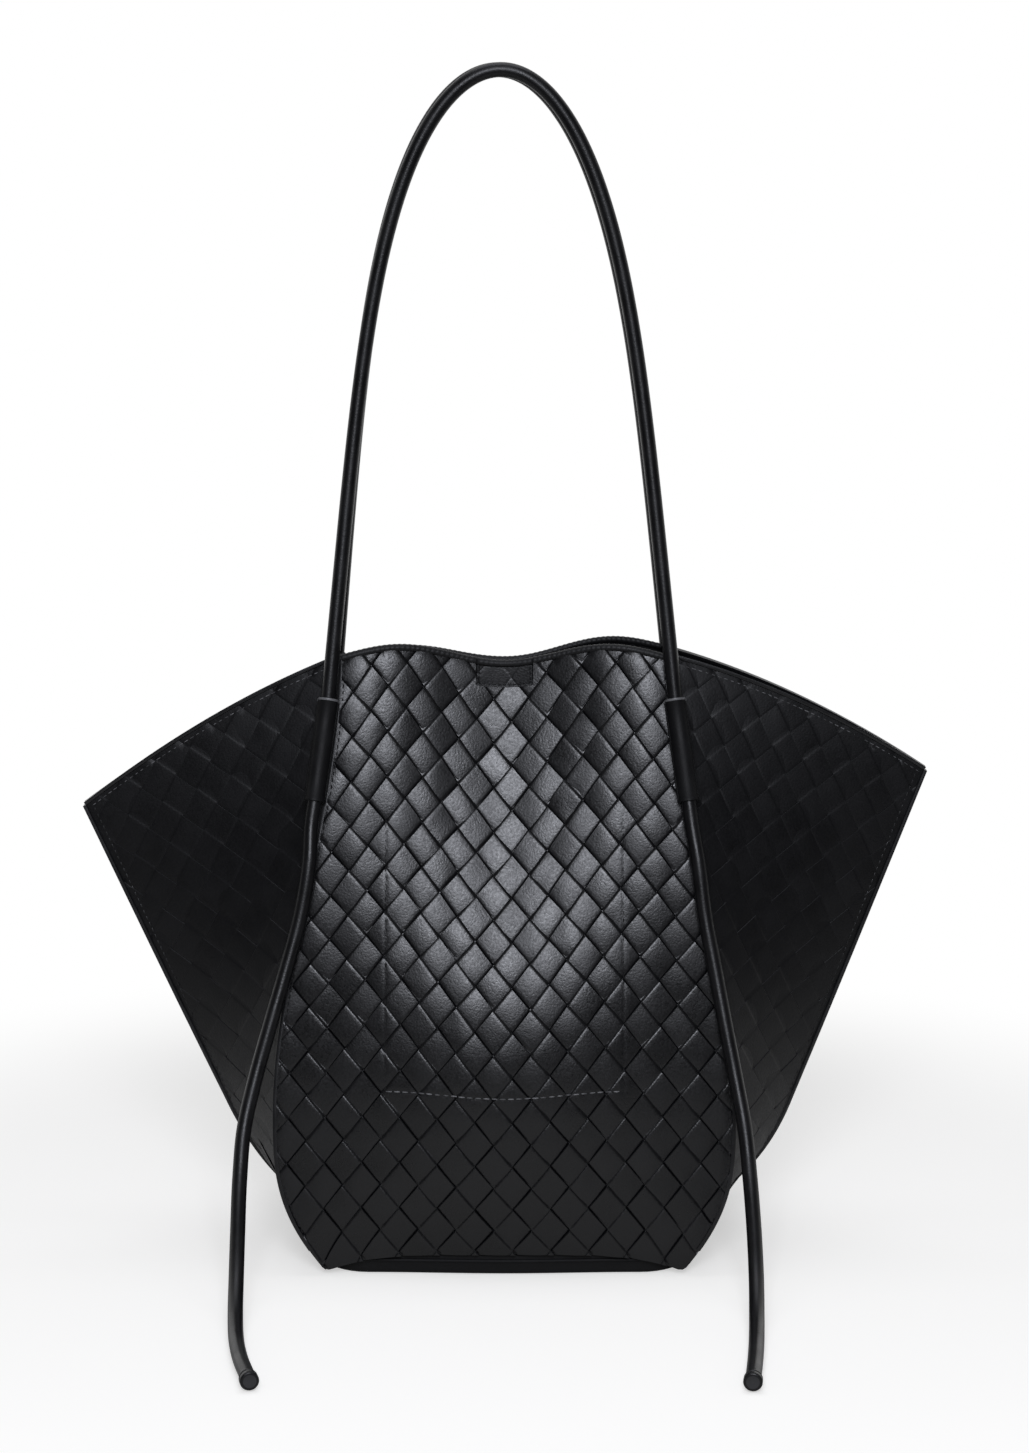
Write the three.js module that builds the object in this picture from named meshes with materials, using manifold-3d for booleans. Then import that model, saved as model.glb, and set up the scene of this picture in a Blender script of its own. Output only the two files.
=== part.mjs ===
import * as THREE from 'three';
import { mergeVertices } from 'three/addons/utils/BufferGeometryUtils.js';
import Module from 'manifold-3d';

// Woven tote bag with side gussets folded out as wings, rolled handles and loose strap tails.
// Millimetres, +Z up, the front faces -Y. The origin is on the table under the middle of the base.

const wasm = await Module();
wasm.setup();

// Sheets and clearances
const GAP = 0.3;
const SHEET = 2.2;
const SEAM_LAP = 3;
const POCKET_EASE = 0.6;

// Base tray, its stiffening board and the cover over the board
const BASE_HALF_WIDTH = 87;
const BASE_HALF_DEPTH = 68;
const BASE_CORNER = 24;
const BASE_BOW = 2;
const BASE_ROUND = 2.5;
const TRAY_INSET = 2.5;
const RIM_HEIGHT = 10;
const RIM_WALL = 3;
const BOARD = 2;
const BOARD_EASE = 0.8;
const COVER = 1;

// Front and back panels: bell outline, belly, pinched and waved top edge
const PANEL_TOP = 288;
const PANEL_FOOT_HALF = 86;
const PANEL_WIDEST_HALF = 107;
const PANEL_WIDEST_AT = 77;
const PANEL_TOP_HALF = 77;
const TOP_HALF_GAP = 15;
const BELLY = 9;
const PINCH_FROM = 80;
const PINCH_LEAN = 0.3;
const TOP_DIP = 8.5;
const TOP_WAVE = 100;
const BACK_SAG = 6;
const FOOT_DROP = 10;
const FOOT_ARCH = 4;
const FOOT_FADE = 14;

// Wings: the tip, the height where the straight edge ends and the curve to the base begins
const WING_TIP = 198;
const WING_TIP_HEIGHT = { left: 210, right: 227 };
const WING_KNEE = { left: 132, right: 136 };
const WING_KNEE_HEIGHT = 65;
const WING_HEEL_HEIGHT = 26;
const WING_TOP_CROWN = 6;

// Magnet closure behind the top edge
const MAGNET = { width: 20, height: 7, thick: 2 };
const PATCH = { width: 26, height: 10.6, wall: 1.2 };
const PATCH_DROP = 15;

// Slip pocket sewn inside the front panel
const POCKET_SHEET = 1;
const POCKET_HALF = 55;
const POCKET_FOOT = 86;
const POCKET_MOUTH = 205;

// Rolled straps, their core, their sleeves and their end caps
const STRAP_R = 3.5;
const STRAP_SKIN = 1.2;
const SLEEVE_DROP = 20;
const SLEEVE_LENGTH = 48;
const SLEEVE_OUT = { left: 4, right: 1.5 };
const SLEEVE_WALL = 0.8;
const SLEEVE_FLANGE_HALF = 5;
const HANDLE_RISE = 264;
const HANDLE_TAPER = 0.36;
const HANDLE_SQUARENESS = 5;
const HANDLE_SHIFT = { front: -1.5, back: -3 };
const CAP_R = 4.2;
const TAIL_RUN_OUT = 12;
const CAP_LENGTH = 5;
const CAP_ROUND = 0.8;

// Routes of the loose tails below their sleeves, front tails as they lie before the bag, back tails behind it
const TAIL_ROUTES = {
  front_left: [
    [-90, -48, 192], [-94, -53, 168], [-100.5, -59, 144], [-107.5, -66, 120], [-114, -73, 97], [-119, -82, 75],
    [-120.5, -93, 54], [-120.5, -108, 35], [-120, -126, 19], [-119, -146, 9], [-117, -168, 5],
    [-113.5, -191, 4.5], [-108.5, -214, 4.5],
  ],
  front_right: [
    [89.5, -48, 192], [92.5, -53, 168], [97, -59, 144], [101.5, -66, 120], [106, -73, 97], [110, -82, 75],
    [112, -93, 54], [113, -108, 35], [113, -126, 19], [112, -146, 9], [110.5, -168, 5],
    [108.5, -191, 4.5], [106, -215, 4.5],
  ],
  back_left: [
    [-89.5, 48, 192], [-90.5, 55, 168], [-90, 63, 144], [-88.5, 71.5, 120], [-86.5, 79.5, 97], [-84.5, 88, 75],
    [-82.5, 98, 54], [-80, 112, 35], [-77.5, 129, 19], [-75, 149, 9], [-72.5, 170, 5],
    [-70, 192, 4.5], [-67.5, 214, 4.5],
  ],
  back_right: [
    [89.5, 48, 192], [91, 55, 168], [90.5, 63, 144], [89, 71.5, 120], [86.5, 79.5, 97], [83.5, 88, 75],
    [80.5, 98, 54], [77.5, 112, 35], [74, 129, 19], [70, 149, 9], [66, 170, 5],
    [62, 191.5, 4.5], [58, 213, 4.5],
  ],
};

// Mesh fineness
const PANEL_COLUMNS = 12;
const PANEL_ROWS = 13;
const WING_COLUMNS = 8;
const POCKET_CELLS = 10;
const CORNER_CELLS = 5;
const BASE_EDGE_CELLS = 10;
const SLEEVE_CELLS = 8;
const STRAP_SIDES = 10;
const HANDLE_STEPS = 44;
const SLOPE_STEP = 1e-3;

// Sizes that follow from the ones above
const BELLY_PEAK = 4 / 27;
const PATCH_AT = PANEL_TOP - PATCH_DROP;
const SLEEVE_TOP = PANEL_TOP - SLEEVE_DROP;
const HANDLE_APEX = PANEL_TOP + HANDLE_RISE;
const PANEL_FOOT = RIM_HEIGHT + 2 * GAP;
const PANEL_DEPTH = BASE_HALF_DEPTH - SHEET / 2;
const WING_FOOT = RIM_HEIGHT + GAP + SHEET / 2;
const PATCH_DEPTH = PATCH.wall + GAP + MAGNET.thick;
const PINCH = GAP / 2 + PATCH_DEPTH + GAP + SHEET / 2;
const SLEEVE_BORE = STRAP_R + GAP;
const STRAP_STANDOFF = SHEET / 2 + GAP + SLEEVE_WALL + SLEEVE_BORE;

const finish = (name, roughness, metalness = 0, colour = 0x17171a) => {
  const material = new THREE.MeshStandardMaterial({ color: colour, roughness, metalness });
  material.name = name;
  return material;
};
const MATERIALS = {
  woven: () => finish('woven_leather', 0.42),
  strap: () => finish('strap_leather', 0.38),
  core: () => finish('cord_core', 0.9, 0, 0xb9b2a2),
  board: () => finish('base_board', 0.8, 0, 0x3a3532),
  cloth: () => finish('inner_cloth', 0.85, 0, 0x1d1c1d),
  magnet: () => finish('magnet', 0.3, 0.9, 0xb8babd),
};

const bag = new THREE.Group();

function addPiece(name, geometry, material) {
  const mesh = new THREE.Mesh(geometry, material());
  mesh.name = name;
  bag.add(mesh);
  return mesh;
}

const mix = (a, b, t) => a + (b - a) * t;
const ease = (t) => {
  const c = THREE.MathUtils.clamp(t, 0, 1);
  return c * c * (3 - 2 * c);
};

// Solids for joins and cuts
function toSolid(geometry) {
  const bare = geometry.clone();
  bare.deleteAttribute('normal');
  bare.deleteAttribute('uv');
  const merged = mergeVertices(bare, 1e-4);
  return new wasm.Manifold(new wasm.Mesh({
    numProp: 3,
    vertProperties: new Float32Array(merged.attributes.position.array),
    triVerts: new Uint32Array(merged.index.array),
  }));
}

function toGeometry(solid) {
  const mesh = solid.getMesh();
  const geometry = new THREE.BufferGeometry();
  geometry.setAttribute('position', new THREE.BufferAttribute(mesh.vertProperties, 3));
  geometry.setIndex(new THREE.BufferAttribute(mesh.triVerts, 1));
  return geometry;
}

// A closed sheet of even thickness about a mid-surface over the unit square. Its outer face looks along
// across x up, or the other way round where mirrored.
function sheet(surface, columns, rows, thickness, mirrored) {
  const hand = mirrored ? -1 : 1;
  const positions = [];
  const index = [];
  const wide = columns + 1;
  const layer = wide * (rows + 1);
  for (const side of [1, -1]) {
    for (let j = 0; j <= rows; j++) {
      for (let i = 0; i <= columns; i++) {
        const a = i / columns;
        const b = j / rows;
        const across = surface(Math.min(1, a + SLOPE_STEP), b).sub(surface(Math.max(0, a - SLOPE_STEP), b));
        const up = surface(a, Math.min(1, b + SLOPE_STEP)).sub(surface(a, Math.max(0, b - SLOPE_STEP)));
        const normal = across.cross(up).normalize();
        const point = surface(a, b).addScaledVector(normal, hand * side * thickness / 2);
        positions.push(point.x, point.y, point.z);
      }
    }
  }
  const quad = (a, b, c, d) => {
    if (mirrored) index.push(a, c, b, a, d, c);
    else index.push(a, b, c, a, c, d);
  };
  for (let j = 0; j < rows; j++) {
    for (let i = 0; i < columns; i++) {
      const k = j * wide + i;
      quad(k, k + 1, k + wide + 1, k + wide);
      quad(layer + k, layer + k + wide, layer + k + wide + 1, layer + k + 1);
    }
  }
  for (let i = 0; i < columns; i++) {
    const top = rows * wide + i;
    quad(i, layer + i, layer + i + 1, i + 1);
    quad(top, top + 1, layer + top + 1, layer + top);
  }
  for (let j = 0; j < rows; j++) {
    const left = j * wide;
    const right = left + columns;
    quad(left, left + wide, layer + left + wide, layer + left);
    quad(right, layer + right, layer + right + wide, right + wide);
  }
  const geometry = new THREE.BufferGeometry();
  geometry.setAttribute('position', new THREE.Float32BufferAttribute(positions, 3));
  geometry.setIndex(index);
  return geometry;
}

// Panel form, by height on the side seam
function panelHalf(height) {
  if (height < PANEL_WIDEST_AT) {
    const fall = (PANEL_WIDEST_AT - height) / (PANEL_WIDEST_AT - PANEL_FOOT);
    return PANEL_WIDEST_HALF - (PANEL_WIDEST_HALF - PANEL_FOOT_HALF) * fall ** 3;
  }
  const rise = (height - PANEL_WIDEST_AT) / (PANEL_TOP - PANEL_WIDEST_AT);
  return mix(PANEL_WIDEST_HALF, PANEL_TOP_HALF, ease(rise));
}

const seamShare = (height) => (height - PANEL_FOOT) / (PANEL_TOP - PANEL_FOOT);
const seamHeight = (share) => mix(PANEL_FOOT, PANEL_TOP, share);
const seamDepth = (share) => mix(PANEL_DEPTH, TOP_HALF_GAP, 1 - Math.cos(share * Math.PI / 2));
const crown = (t) => (1 + Math.cos(Math.PI * t)) / 2;

// The top edge waves up beside the magnets, and the back one sags towards the left
function topEdge(x, face) {
  const sag = face > 0 ? BACK_SAG * ease(-x / PANEL_TOP_HALF) : 0;
  return PANEL_TOP - TOP_DIP * crown(2 * x / TOP_WAVE) - sag;
}

function centreDepth(share) {
  const height = seamHeight(share);
  const belly = BELLY * share * (1 - share) ** 2 / BELLY_PEAK;
  const free = seamDepth(share) + BASE_BOW * (1 - share) ** 2 + belly;
  const pinched = PINCH + (PANEL_TOP - height) * PINCH_LEAN;
  return mix(free, pinched, ease((height - PINCH_FROM) / (PATCH_AT - PINCH_FROM)));
}

// The mid-surface of a panel: across runs from -1 at the left seam to 1, share from foot to top edge
function panelPoint(across, share, face) {
  const x = across * panelHalf(seamHeight(share));
  const z = mix(PANEL_FOOT, topEdge(x, face), share);
  const depth = mix(seamDepth(share), centreDepth(share), crown(across));
  return new THREE.Vector3(x, face * depth, z);
}

// A panel's foot arches over the tray, which stands in behind it, and its corners come down to the floor
function panel(face) {
  const surface = (a, b) => {
    const across = 2 * a - 1;
    const point = panelPoint(across, b, face);
    point.z -= FOOT_DROP * across ** FOOT_ARCH * (1 - b) ** FOOT_FADE;
    return point;
  };
  return sheet(surface, PANEL_COLUMNS, PANEL_ROWS, SHEET, face > 0);
}

// Outer edge of a wing: a straight run from the tip to the knee, then a curve in to the base
function wingEdge(share, hand) {
  const tip = WING_TIP_HEIGHT[hand];
  const knee = WING_KNEE[hand];
  const height = mix(WING_FOOT, tip, share);
  const slope = (WING_TIP - knee) / (tip - WING_KNEE_HEIGHT);
  if (height > WING_KNEE_HEIGHT) return { x: knee + slope * (height - WING_KNEE_HEIGHT), z: height };
  const heel = knee - slope * (WING_KNEE_HEIGHT - WING_HEEL_HEIGHT);
  const bend = WING_FOOT - 2 * WING_HEEL_HEIGHT + WING_KNEE_HEIGHT;
  const lead = WING_HEEL_HEIGHT - WING_FOOT;
  const t = (Math.sqrt(lead * lead + bend * (height - WING_FOOT)) - lead) / bend;
  const x = (1 - t) ** 2 * BASE_HALF_WIDTH + 2 * t * (1 - t) * heel + t * t * knee;
  return { x, z: height };
}

// The mid-surface of one wing half: straight rulings from the panel's seam to the outer edge
function wingPoint(across, share, hand, face) {
  const seam = panelPoint(hand === 'left' ? -1 : 1, share, face);
  const width = Math.abs(seam.x);
  const depth = Math.abs(seam.y);
  const edge = wingEdge(share, hand);
  const start = width - SEAM_LAP;
  const run = Math.hypot(edge.x - start, edge.z - seam.z);
  const facing = run / Math.hypot(run, depth);
  const inner = depth - SHEET / 2 - 2 * GAP - facing * SHEET / 2;
  const outer = GAP / 2 + facing * SHEET / 2;
  const lift = WING_TOP_CROWN * 4 * across * (1 - across) * share ** 3;
  const x = mix(start, edge.x, across);
  const z = Math.max(WING_FOOT, mix(seam.z, edge.z, across) + lift);
  return new THREE.Vector3(hand === 'left' ? -x : x, face * mix(inner, outer, across), z);
}

function wing(hand, face) {
  const surface = (a, b) => wingPoint(a, b, hand, face);
  return sheet(surface, WING_COLUMNS, PANEL_ROWS, SHEET, (hand === 'left') !== (face > 0));
}

// Base: a tray with a rolled edge, a board in it and a cover on the board
function baseOutline(inset) {
  const shape = new THREE.Shape();
  const corner = BASE_CORNER - inset;
  const reach = BASE_HALF_WIDTH - BASE_CORNER;
  const front = BASE_HALF_DEPTH - TRAY_INSET;
  const depth = front - BASE_CORNER;
  for (const face of [-1, 1]) {
    const start = face < 0 ? Math.PI : 0;
    shape.absarc(face * reach, face * depth, corner, start, start + Math.PI / 2);
    for (let i = 1; i < BASE_EDGE_CELLS; i++) {
      const x = face * mix(reach, -reach, i / BASE_EDGE_CELLS);
      shape.lineTo(x, face * (front - inset + BASE_BOW * crown(x / reach)));
    }
    shape.absarc(-face * reach, face * depth, corner, start + Math.PI / 2, start + Math.PI);
  }
  shape.closePath();
  return shape;
}

function plate(inset, thickness, bottom) {
  const outline = baseOutline(inset);
  const geometry = new THREE.ExtrudeGeometry(outline, {
    depth: thickness,
    bevelEnabled: false,
    curveSegments: CORNER_CELLS,
  });
  return geometry.translate(0, 0, bottom);
}

function baseTray() {
  const body = new THREE.ExtrudeGeometry(baseOutline(0), {
    depth: RIM_HEIGHT - 2 * BASE_ROUND,
    bevelThickness: BASE_ROUND,
    bevelSize: BASE_ROUND,
    bevelOffset: -BASE_ROUND,
    bevelSegments: 3,
    curveSegments: CORNER_CELLS,
  });
  body.translate(0, 0, BASE_ROUND);
  const hollow = plate(RIM_WALL, RIM_HEIGHT, SHEET);
  return toGeometry(toSolid(body).subtract(toSolid(hollow)));
}

// Closure: a flat magnet in a leather patch that is formed round it, one behind each panel
function box(width, depth, height) {
  return new THREE.BoxGeometry(width, depth, height);
}

// A patch is a wedge: upright where it meets the other one, and leaning as the panel does behind it
function magnetPatch(face) {
  const low = PATCH_AT - PATCH.height / 2;
  const lean = PATCH.height * PINCH_LEAN;
  const side = new THREE.Shape();
  side.moveTo(0, 0);
  side.lineTo(PATCH_DEPTH + lean, 0);
  side.lineTo(PATCH_DEPTH, PATCH.height);
  side.lineTo(0, PATCH.height);
  side.closePath();
  const body = new THREE.ExtrudeGeometry(side, { depth: PATCH.width, bevelEnabled: false });
  const outward = new THREE.Vector3(0, face, 0);
  const upward = new THREE.Vector3(0, 0, 1);
  const basis = new THREE.Matrix4().makeBasis(outward, upward, outward.clone().cross(upward));
  body.applyMatrix4(basis.setPosition(-face * PATCH.width / 2, face * GAP / 2, low));
  const depth = PATCH_DEPTH + lean;
  const well = box(MAGNET.width + 2 * GAP, depth, MAGNET.height + 2 * GAP);
  well.translate(0, face * (GAP / 2 + PATCH.wall + depth / 2), PATCH_AT);
  return toGeometry(toSolid(body).subtract(toSolid(well)));
}

function magnet(face) {
  const middle = face * (GAP / 2 + PATCH.wall + GAP + MAGNET.thick / 2);
  return box(MAGNET.width, MAGNET.thick, MAGNET.height).translate(0, middle, PATCH_AT);
}

// The mid-surface as the panel's facets lie, for what is sewn flat against them
function panelFacet(across, share, face) {
  const a = (across + 1) / 2 * PANEL_COLUMNS;
  const b = share * PANEL_ROWS;
  const i = THREE.MathUtils.clamp(Math.floor(a), 0, PANEL_COLUMNS - 1);
  const j = THREE.MathUtils.clamp(Math.floor(b), 0, PANEL_ROWS - 1);
  const corner = (k, l) => panelPoint(2 * (i + k) / PANEL_COLUMNS - 1, (j + l) / PANEL_ROWS, face);
  const [first, second] = a - i > b - j ? [a - i, b - j] : [b - j, a - i];
  const between = a - i > b - j ? corner(1, 0) : corner(0, 1);
  return corner(0, 0).lerp(between, first).addScaledVector(corner(1, 1).sub(between), second);
}

// Slip pocket: a sheet that follows the inside of the front panel
function pocketPoint(across, share) {
  const height = mix(POCKET_FOOT, POCKET_MOUTH, share);
  const level = seamShare(height);
  const reach = mix(-POCKET_HALF, POCKET_HALF, across) / panelHalf(height);
  const side = panelPoint(reach + SLOPE_STEP, level, -1).sub(panelPoint(reach - SLOPE_STEP, level, -1));
  const up = panelPoint(reach, level + SLOPE_STEP, -1).sub(panelPoint(reach, level - SLOPE_STEP, -1));
  const outward = side.cross(up).normalize();
  return panelFacet(reach, level, -1).addScaledVector(outward, -(SHEET + POCKET_SHEET) / 2 - POCKET_EASE);
}

// Straps
function disc(radius, hole = 0) {
  const shape = new THREE.Shape();
  shape.absarc(0, 0, radius, 0, 2 * Math.PI);
  if (hole > 0) {
    const bore = new THREE.Path();
    bore.absarc(0, 0, hole, 0, 2 * Math.PI, true);
    shape.holes.push(bore);
  }
  return shape;
}

function tube(section, points, steps) {
  return new THREE.ExtrudeGeometry(section, {
    steps,
    curveSegments: STRAP_SIDES / 2,
    extrudePath: new THREE.CatmullRomCurve3(points, false, 'centripetal'),
  });
}

// The straight axis of a sleeve, from its rim down, and the panel's outward normal there
function sleeveAxis(hand, face) {
  const sign = hand === 'left' ? -1 : 1;
  const high = panelPoint(sign, seamShare(SLEEVE_TOP), face);
  const low = panelPoint(sign, seamShare(SLEEVE_TOP - SLEEVE_LENGTH), face);
  const up = high.clone().sub(low).normalize();
  const outward = new THREE.Vector3(0, face, 0).addScaledVector(up, -face * up.y).normalize();
  const middle = panelPoint(sign, seamShare(SLEEVE_TOP - SLEEVE_LENGTH / 2), face);
  const bow = middle.sub(high).dot(outward) - low.clone().sub(high).dot(outward) / 2;
  const rim = high.clone().addScaledVector(outward, STRAP_STANDOFF + Math.max(0, bow));
  rim.x += sign * SLEEVE_OUT[hand];
  return { rim, up, outward, foot: rim.clone().addScaledVector(up, -SLEEVE_LENGTH) };
}

// A sleeve's section is a ring on a flat flange, which is sewn down along the seam
function sleeve(hand, face) {
  const { foot, up, outward } = sleeveAxis(hand, face);
  const outerR = SLEEVE_BORE + SLEEVE_WALL;
  const shoulder = Math.asin(-SLEEVE_BORE / outerR);
  const section = new THREE.Shape();
  section.moveTo(-SLEEVE_FLANGE_HALF, -outerR);
  section.lineTo(SLEEVE_FLANGE_HALF, -outerR);
  section.lineTo(SLEEVE_FLANGE_HALF, -SLEEVE_BORE);
  section.absarc(0, 0, outerR, shoulder, Math.PI - shoulder);
  section.lineTo(-SLEEVE_FLANGE_HALF, -SLEEVE_BORE);
  section.closePath();
  const bore = new THREE.Path();
  bore.absarc(0, 0, SLEEVE_BORE, 0, 2 * Math.PI, true);
  section.holes.push(bore);
  const geometry = new THREE.ExtrudeGeometry(section, {
    depth: SLEEVE_LENGTH,
    bevelEnabled: false,
    curveSegments: SLEEVE_CELLS,
  });
  const basis = new THREE.Matrix4().makeBasis(outward.clone().cross(up), outward, up);
  return geometry.applyMatrix4(basis.setPosition(foot));
}

// A handle stands up from its two sleeve rims in a tapered arch that leans in to the other handle
function handlePoints(face) {
  const left = sleeveAxis('left', face).rim;
  const right = sleeveAxis('right', face).rim;
  const apexDepth = STRAP_R + GAP;
  const shift = face < 0 ? HANDLE_SHIFT.front : HANDLE_SHIFT.back;
  const points = [];
  for (let i = -HANDLE_STEPS / 2; i <= HANDLE_STEPS / 2; i++) {
    const q = 2 * i / HANDLE_STEPS;
    const turn = Math.sign(q) * (1 - (1 - Math.abs(q)) ** 3) * Math.PI / 2;
    const rise = Math.max(0, Math.cos(turn)) ** (2 / HANDLE_SQUARENESS);
    const rim = turn < 0 ? left : right;
    const x = Math.abs(rim.x) * (1 - HANDLE_TAPER * rise) * Math.sin(turn) + shift * rise;
    const y = face * mix(apexDepth, Math.abs(rim.y), (1 - rise) ** 2);
    points.push(new THREE.Vector3(x, y, mix(rim.z + 2 * GAP, HANDLE_APEX, rise)));
  }
  return points;
}

// A tail goes down through its sleeve and on along its free route, and ends in a cap
function tailPoints(hand, face) {
  const { rim, up, foot } = sleeveAxis(hand, face);
  const name = `${face < 0 ? 'front' : 'back'}_${hand}`;
  const free = TAIL_ROUTES[name].map((p) => new THREE.Vector3(...p));
  const inside = rim.clone().addScaledVector(up, -GAP);
  const outside = foot.clone().addScaledVector(up, -TAIL_RUN_OUT);
  return [inside, inside.clone().lerp(foot, 0.5), foot, outside, ...free];
}

function tailCap(points) {
  const end = points[points.length - 1];
  const along = new THREE.CatmullRomCurve3(points, false, 'centripetal').getTangent(1);
  const profile = [
    new THREE.Vector2(0, 0),
    new THREE.Vector2(CAP_R, 0),
    new THREE.Vector2(CAP_R, CAP_LENGTH - CAP_ROUND),
    new THREE.Vector2(CAP_R - CAP_ROUND, CAP_LENGTH),
    new THREE.Vector2(0, CAP_LENGTH),
  ];
  const turn = new THREE.Quaternion().setFromUnitVectors(new THREE.Vector3(0, 1, 0), along);
  const geometry = new THREE.LatheGeometry(profile, STRAP_SIDES + 2).applyQuaternion(turn);
  const place = end.clone().addScaledVector(along, GAP);
  return geometry.translate(place.x, place.y, place.z);
}

// Assembly
addPiece('base_panel', baseTray(), MATERIALS.woven);
addPiece('base_board', plate(RIM_WALL + BOARD_EASE, BOARD, SHEET + GAP), MATERIALS.board);
addPiece('base_cover', plate(RIM_WALL + GAP, COVER, SHEET + 2 * GAP + BOARD), MATERIALS.cloth);
addPiece('slip_pocket', sheet(pocketPoint, POCKET_CELLS, POCKET_CELLS, POCKET_SHEET, false), MATERIALS.cloth);

for (const [name, face] of [['front', -1], ['back', 1]]) {
  addPiece(`${name}_panel`, panel(face), MATERIALS.woven);
  addPiece(`${name}_magnet`, magnet(face), MATERIALS.magnet);
  addPiece(`${name}_magnet_patch`, magnetPatch(face), MATERIALS.strap);
  const arch = handlePoints(face);
  addPiece(`${name}_handle`, tube(disc(STRAP_R, STRAP_R - STRAP_SKIN), arch, HANDLE_STEPS), MATERIALS.strap);
  addPiece(`${name}_handle_core`, tube(disc(STRAP_R - STRAP_SKIN - GAP), arch, HANDLE_STEPS), MATERIALS.core);
  for (const hand of ['left', 'right']) {
    addPiece(`${name}_${hand}_wing`, wing(hand, face), MATERIALS.woven);
    addPiece(`${name}_${hand}_sleeve`, sleeve(hand, face), MATERIALS.strap);
    const route = tailPoints(hand, face);
    addPiece(`${name}_${hand}_tail`, tube(disc(STRAP_R), route, route.length), MATERIALS.strap);
    addPiece(`${name}_${hand}_tail_cap`, tailCap(route), MATERIALS.strap);
  }
}

export default bag;
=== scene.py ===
import math

import bmesh
import bpy
import numpy as np
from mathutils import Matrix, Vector


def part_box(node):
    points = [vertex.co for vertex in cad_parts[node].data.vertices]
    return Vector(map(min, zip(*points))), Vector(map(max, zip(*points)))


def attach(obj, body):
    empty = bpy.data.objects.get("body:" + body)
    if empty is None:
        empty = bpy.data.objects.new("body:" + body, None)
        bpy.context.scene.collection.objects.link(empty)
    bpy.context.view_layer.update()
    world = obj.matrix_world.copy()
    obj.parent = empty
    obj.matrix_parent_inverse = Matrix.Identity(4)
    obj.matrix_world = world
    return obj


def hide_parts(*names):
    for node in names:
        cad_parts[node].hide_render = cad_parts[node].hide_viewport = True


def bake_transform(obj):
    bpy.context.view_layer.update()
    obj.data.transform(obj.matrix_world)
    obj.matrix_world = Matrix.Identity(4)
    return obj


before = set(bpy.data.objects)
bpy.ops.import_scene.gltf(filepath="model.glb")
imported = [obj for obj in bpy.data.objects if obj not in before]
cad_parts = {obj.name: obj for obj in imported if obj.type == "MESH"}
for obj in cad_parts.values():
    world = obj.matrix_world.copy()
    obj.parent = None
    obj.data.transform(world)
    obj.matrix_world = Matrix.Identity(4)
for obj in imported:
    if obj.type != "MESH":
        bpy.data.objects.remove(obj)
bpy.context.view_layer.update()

# Woven tote bag with side gussets folded out as wings, rolled handles and loose strap tails.
# Shapes are worked out in millimetres and turned to metres when a mesh is made.
MM = 0.001

# The front faces -y and the back +y
FACES = {"front": -1, "back": 1}

# Sizes of the bag, as in the solids
GAP = 0.3
SHEET = 2.2
SEAM_LAP = 3
BASE_HALF_WIDTH, BASE_HALF_DEPTH, BASE_CORNER, BASE_BOW, TRAY_INSET = 87, 68, 24, 2, 2.5
RIM_HEIGHT, RIM_WALL, BASE_ROUND = 10, 3, 2.5
BOARD, COVER = 2, 1
PANEL_TOP, PANEL_TOP_HALF, PANEL_FOOT_HALF = 288, 77, 86
PANEL_WIDEST_HALF, PANEL_WIDEST_AT = 107, 77
TOP_HALF_GAP, TOP_DIP, TOP_WAVE, BACK_SAG = 15, 8.5, 100, 6
BELLY, PINCH_FROM, PINCH_LEAN = 9, 80, 0.3
FOOT_DROP, FOOT_ARCH, FOOT_FADE, FOOT_BLUNT = 10, 4, 14, 5
WING_TIP, WING_TIP_HEIGHT, WING_KNEE = 198, {"left": 210, "right": 227}, {"left": 132, "right": 136}
WING_KNEE_HEIGHT, WING_HEEL_HEIGHT, WING_TOP_CROWN = 65, 26, 6
MAGNET_THICK, PATCH_WIDTH, PATCH_HEIGHT, PATCH_WALL, PATCH_AT = 2, 26, 10.6, 1.2, 273
POCKET_HALF, POCKET_FOOT, POCKET_MOUTH, POCKET_SHEET, POCKET_EASE = 55, 86, 205, 1, 0.6
STRAP_R, STRAP_SKIN, STRAP_SPACING = 3.5, 1.2, 1.9
SLEEVE_TOP, SLEEVE_LENGTH, SLEEVE_OUT = 268, 48, {"left": 4, "right": 1.5}
SLEEVE_WALL, SLEEVE_FLANGE_HALF = 0.8, 5
HANDLE_APEX, HANDLE_TAPER, HANDLE_SQUARENESS = 552, 0.36, 5
HANDLE_SHIFT = {"front": -1.5, "back": -3}
TAIL_RUN_OUT = 12

PANEL_FOOT = RIM_HEIGHT + 2 * GAP
PANEL_DEPTH = BASE_HALF_DEPTH - SHEET / 2
WING_FOOT = RIM_HEIGHT + GAP + SHEET / 2
PATCH_DEPTH = PATCH_WALL + GAP + MAGNET_THICK
PINCH = GAP / 2 + PATCH_DEPTH + GAP + SHEET / 2
SLEEVE_BORE = STRAP_R + GAP
STRAP_STANDOFF = SHEET / 2 + GAP + SLEEVE_WALL + SLEEVE_BORE
FULL_HEIGHT = PANEL_TOP - TOP_DIP - PANEL_FOOT
PATCH_LOW = (PATCH_AT - PATCH_HEIGHT / 2 - PANEL_FOOT) / FULL_HEIGHT
POCKET_LOW = (POCKET_FOOT - PANEL_FOOT) / FULL_HEIGHT
POCKET_DEEP = POCKET_MOUTH - POCKET_FOOT

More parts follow.
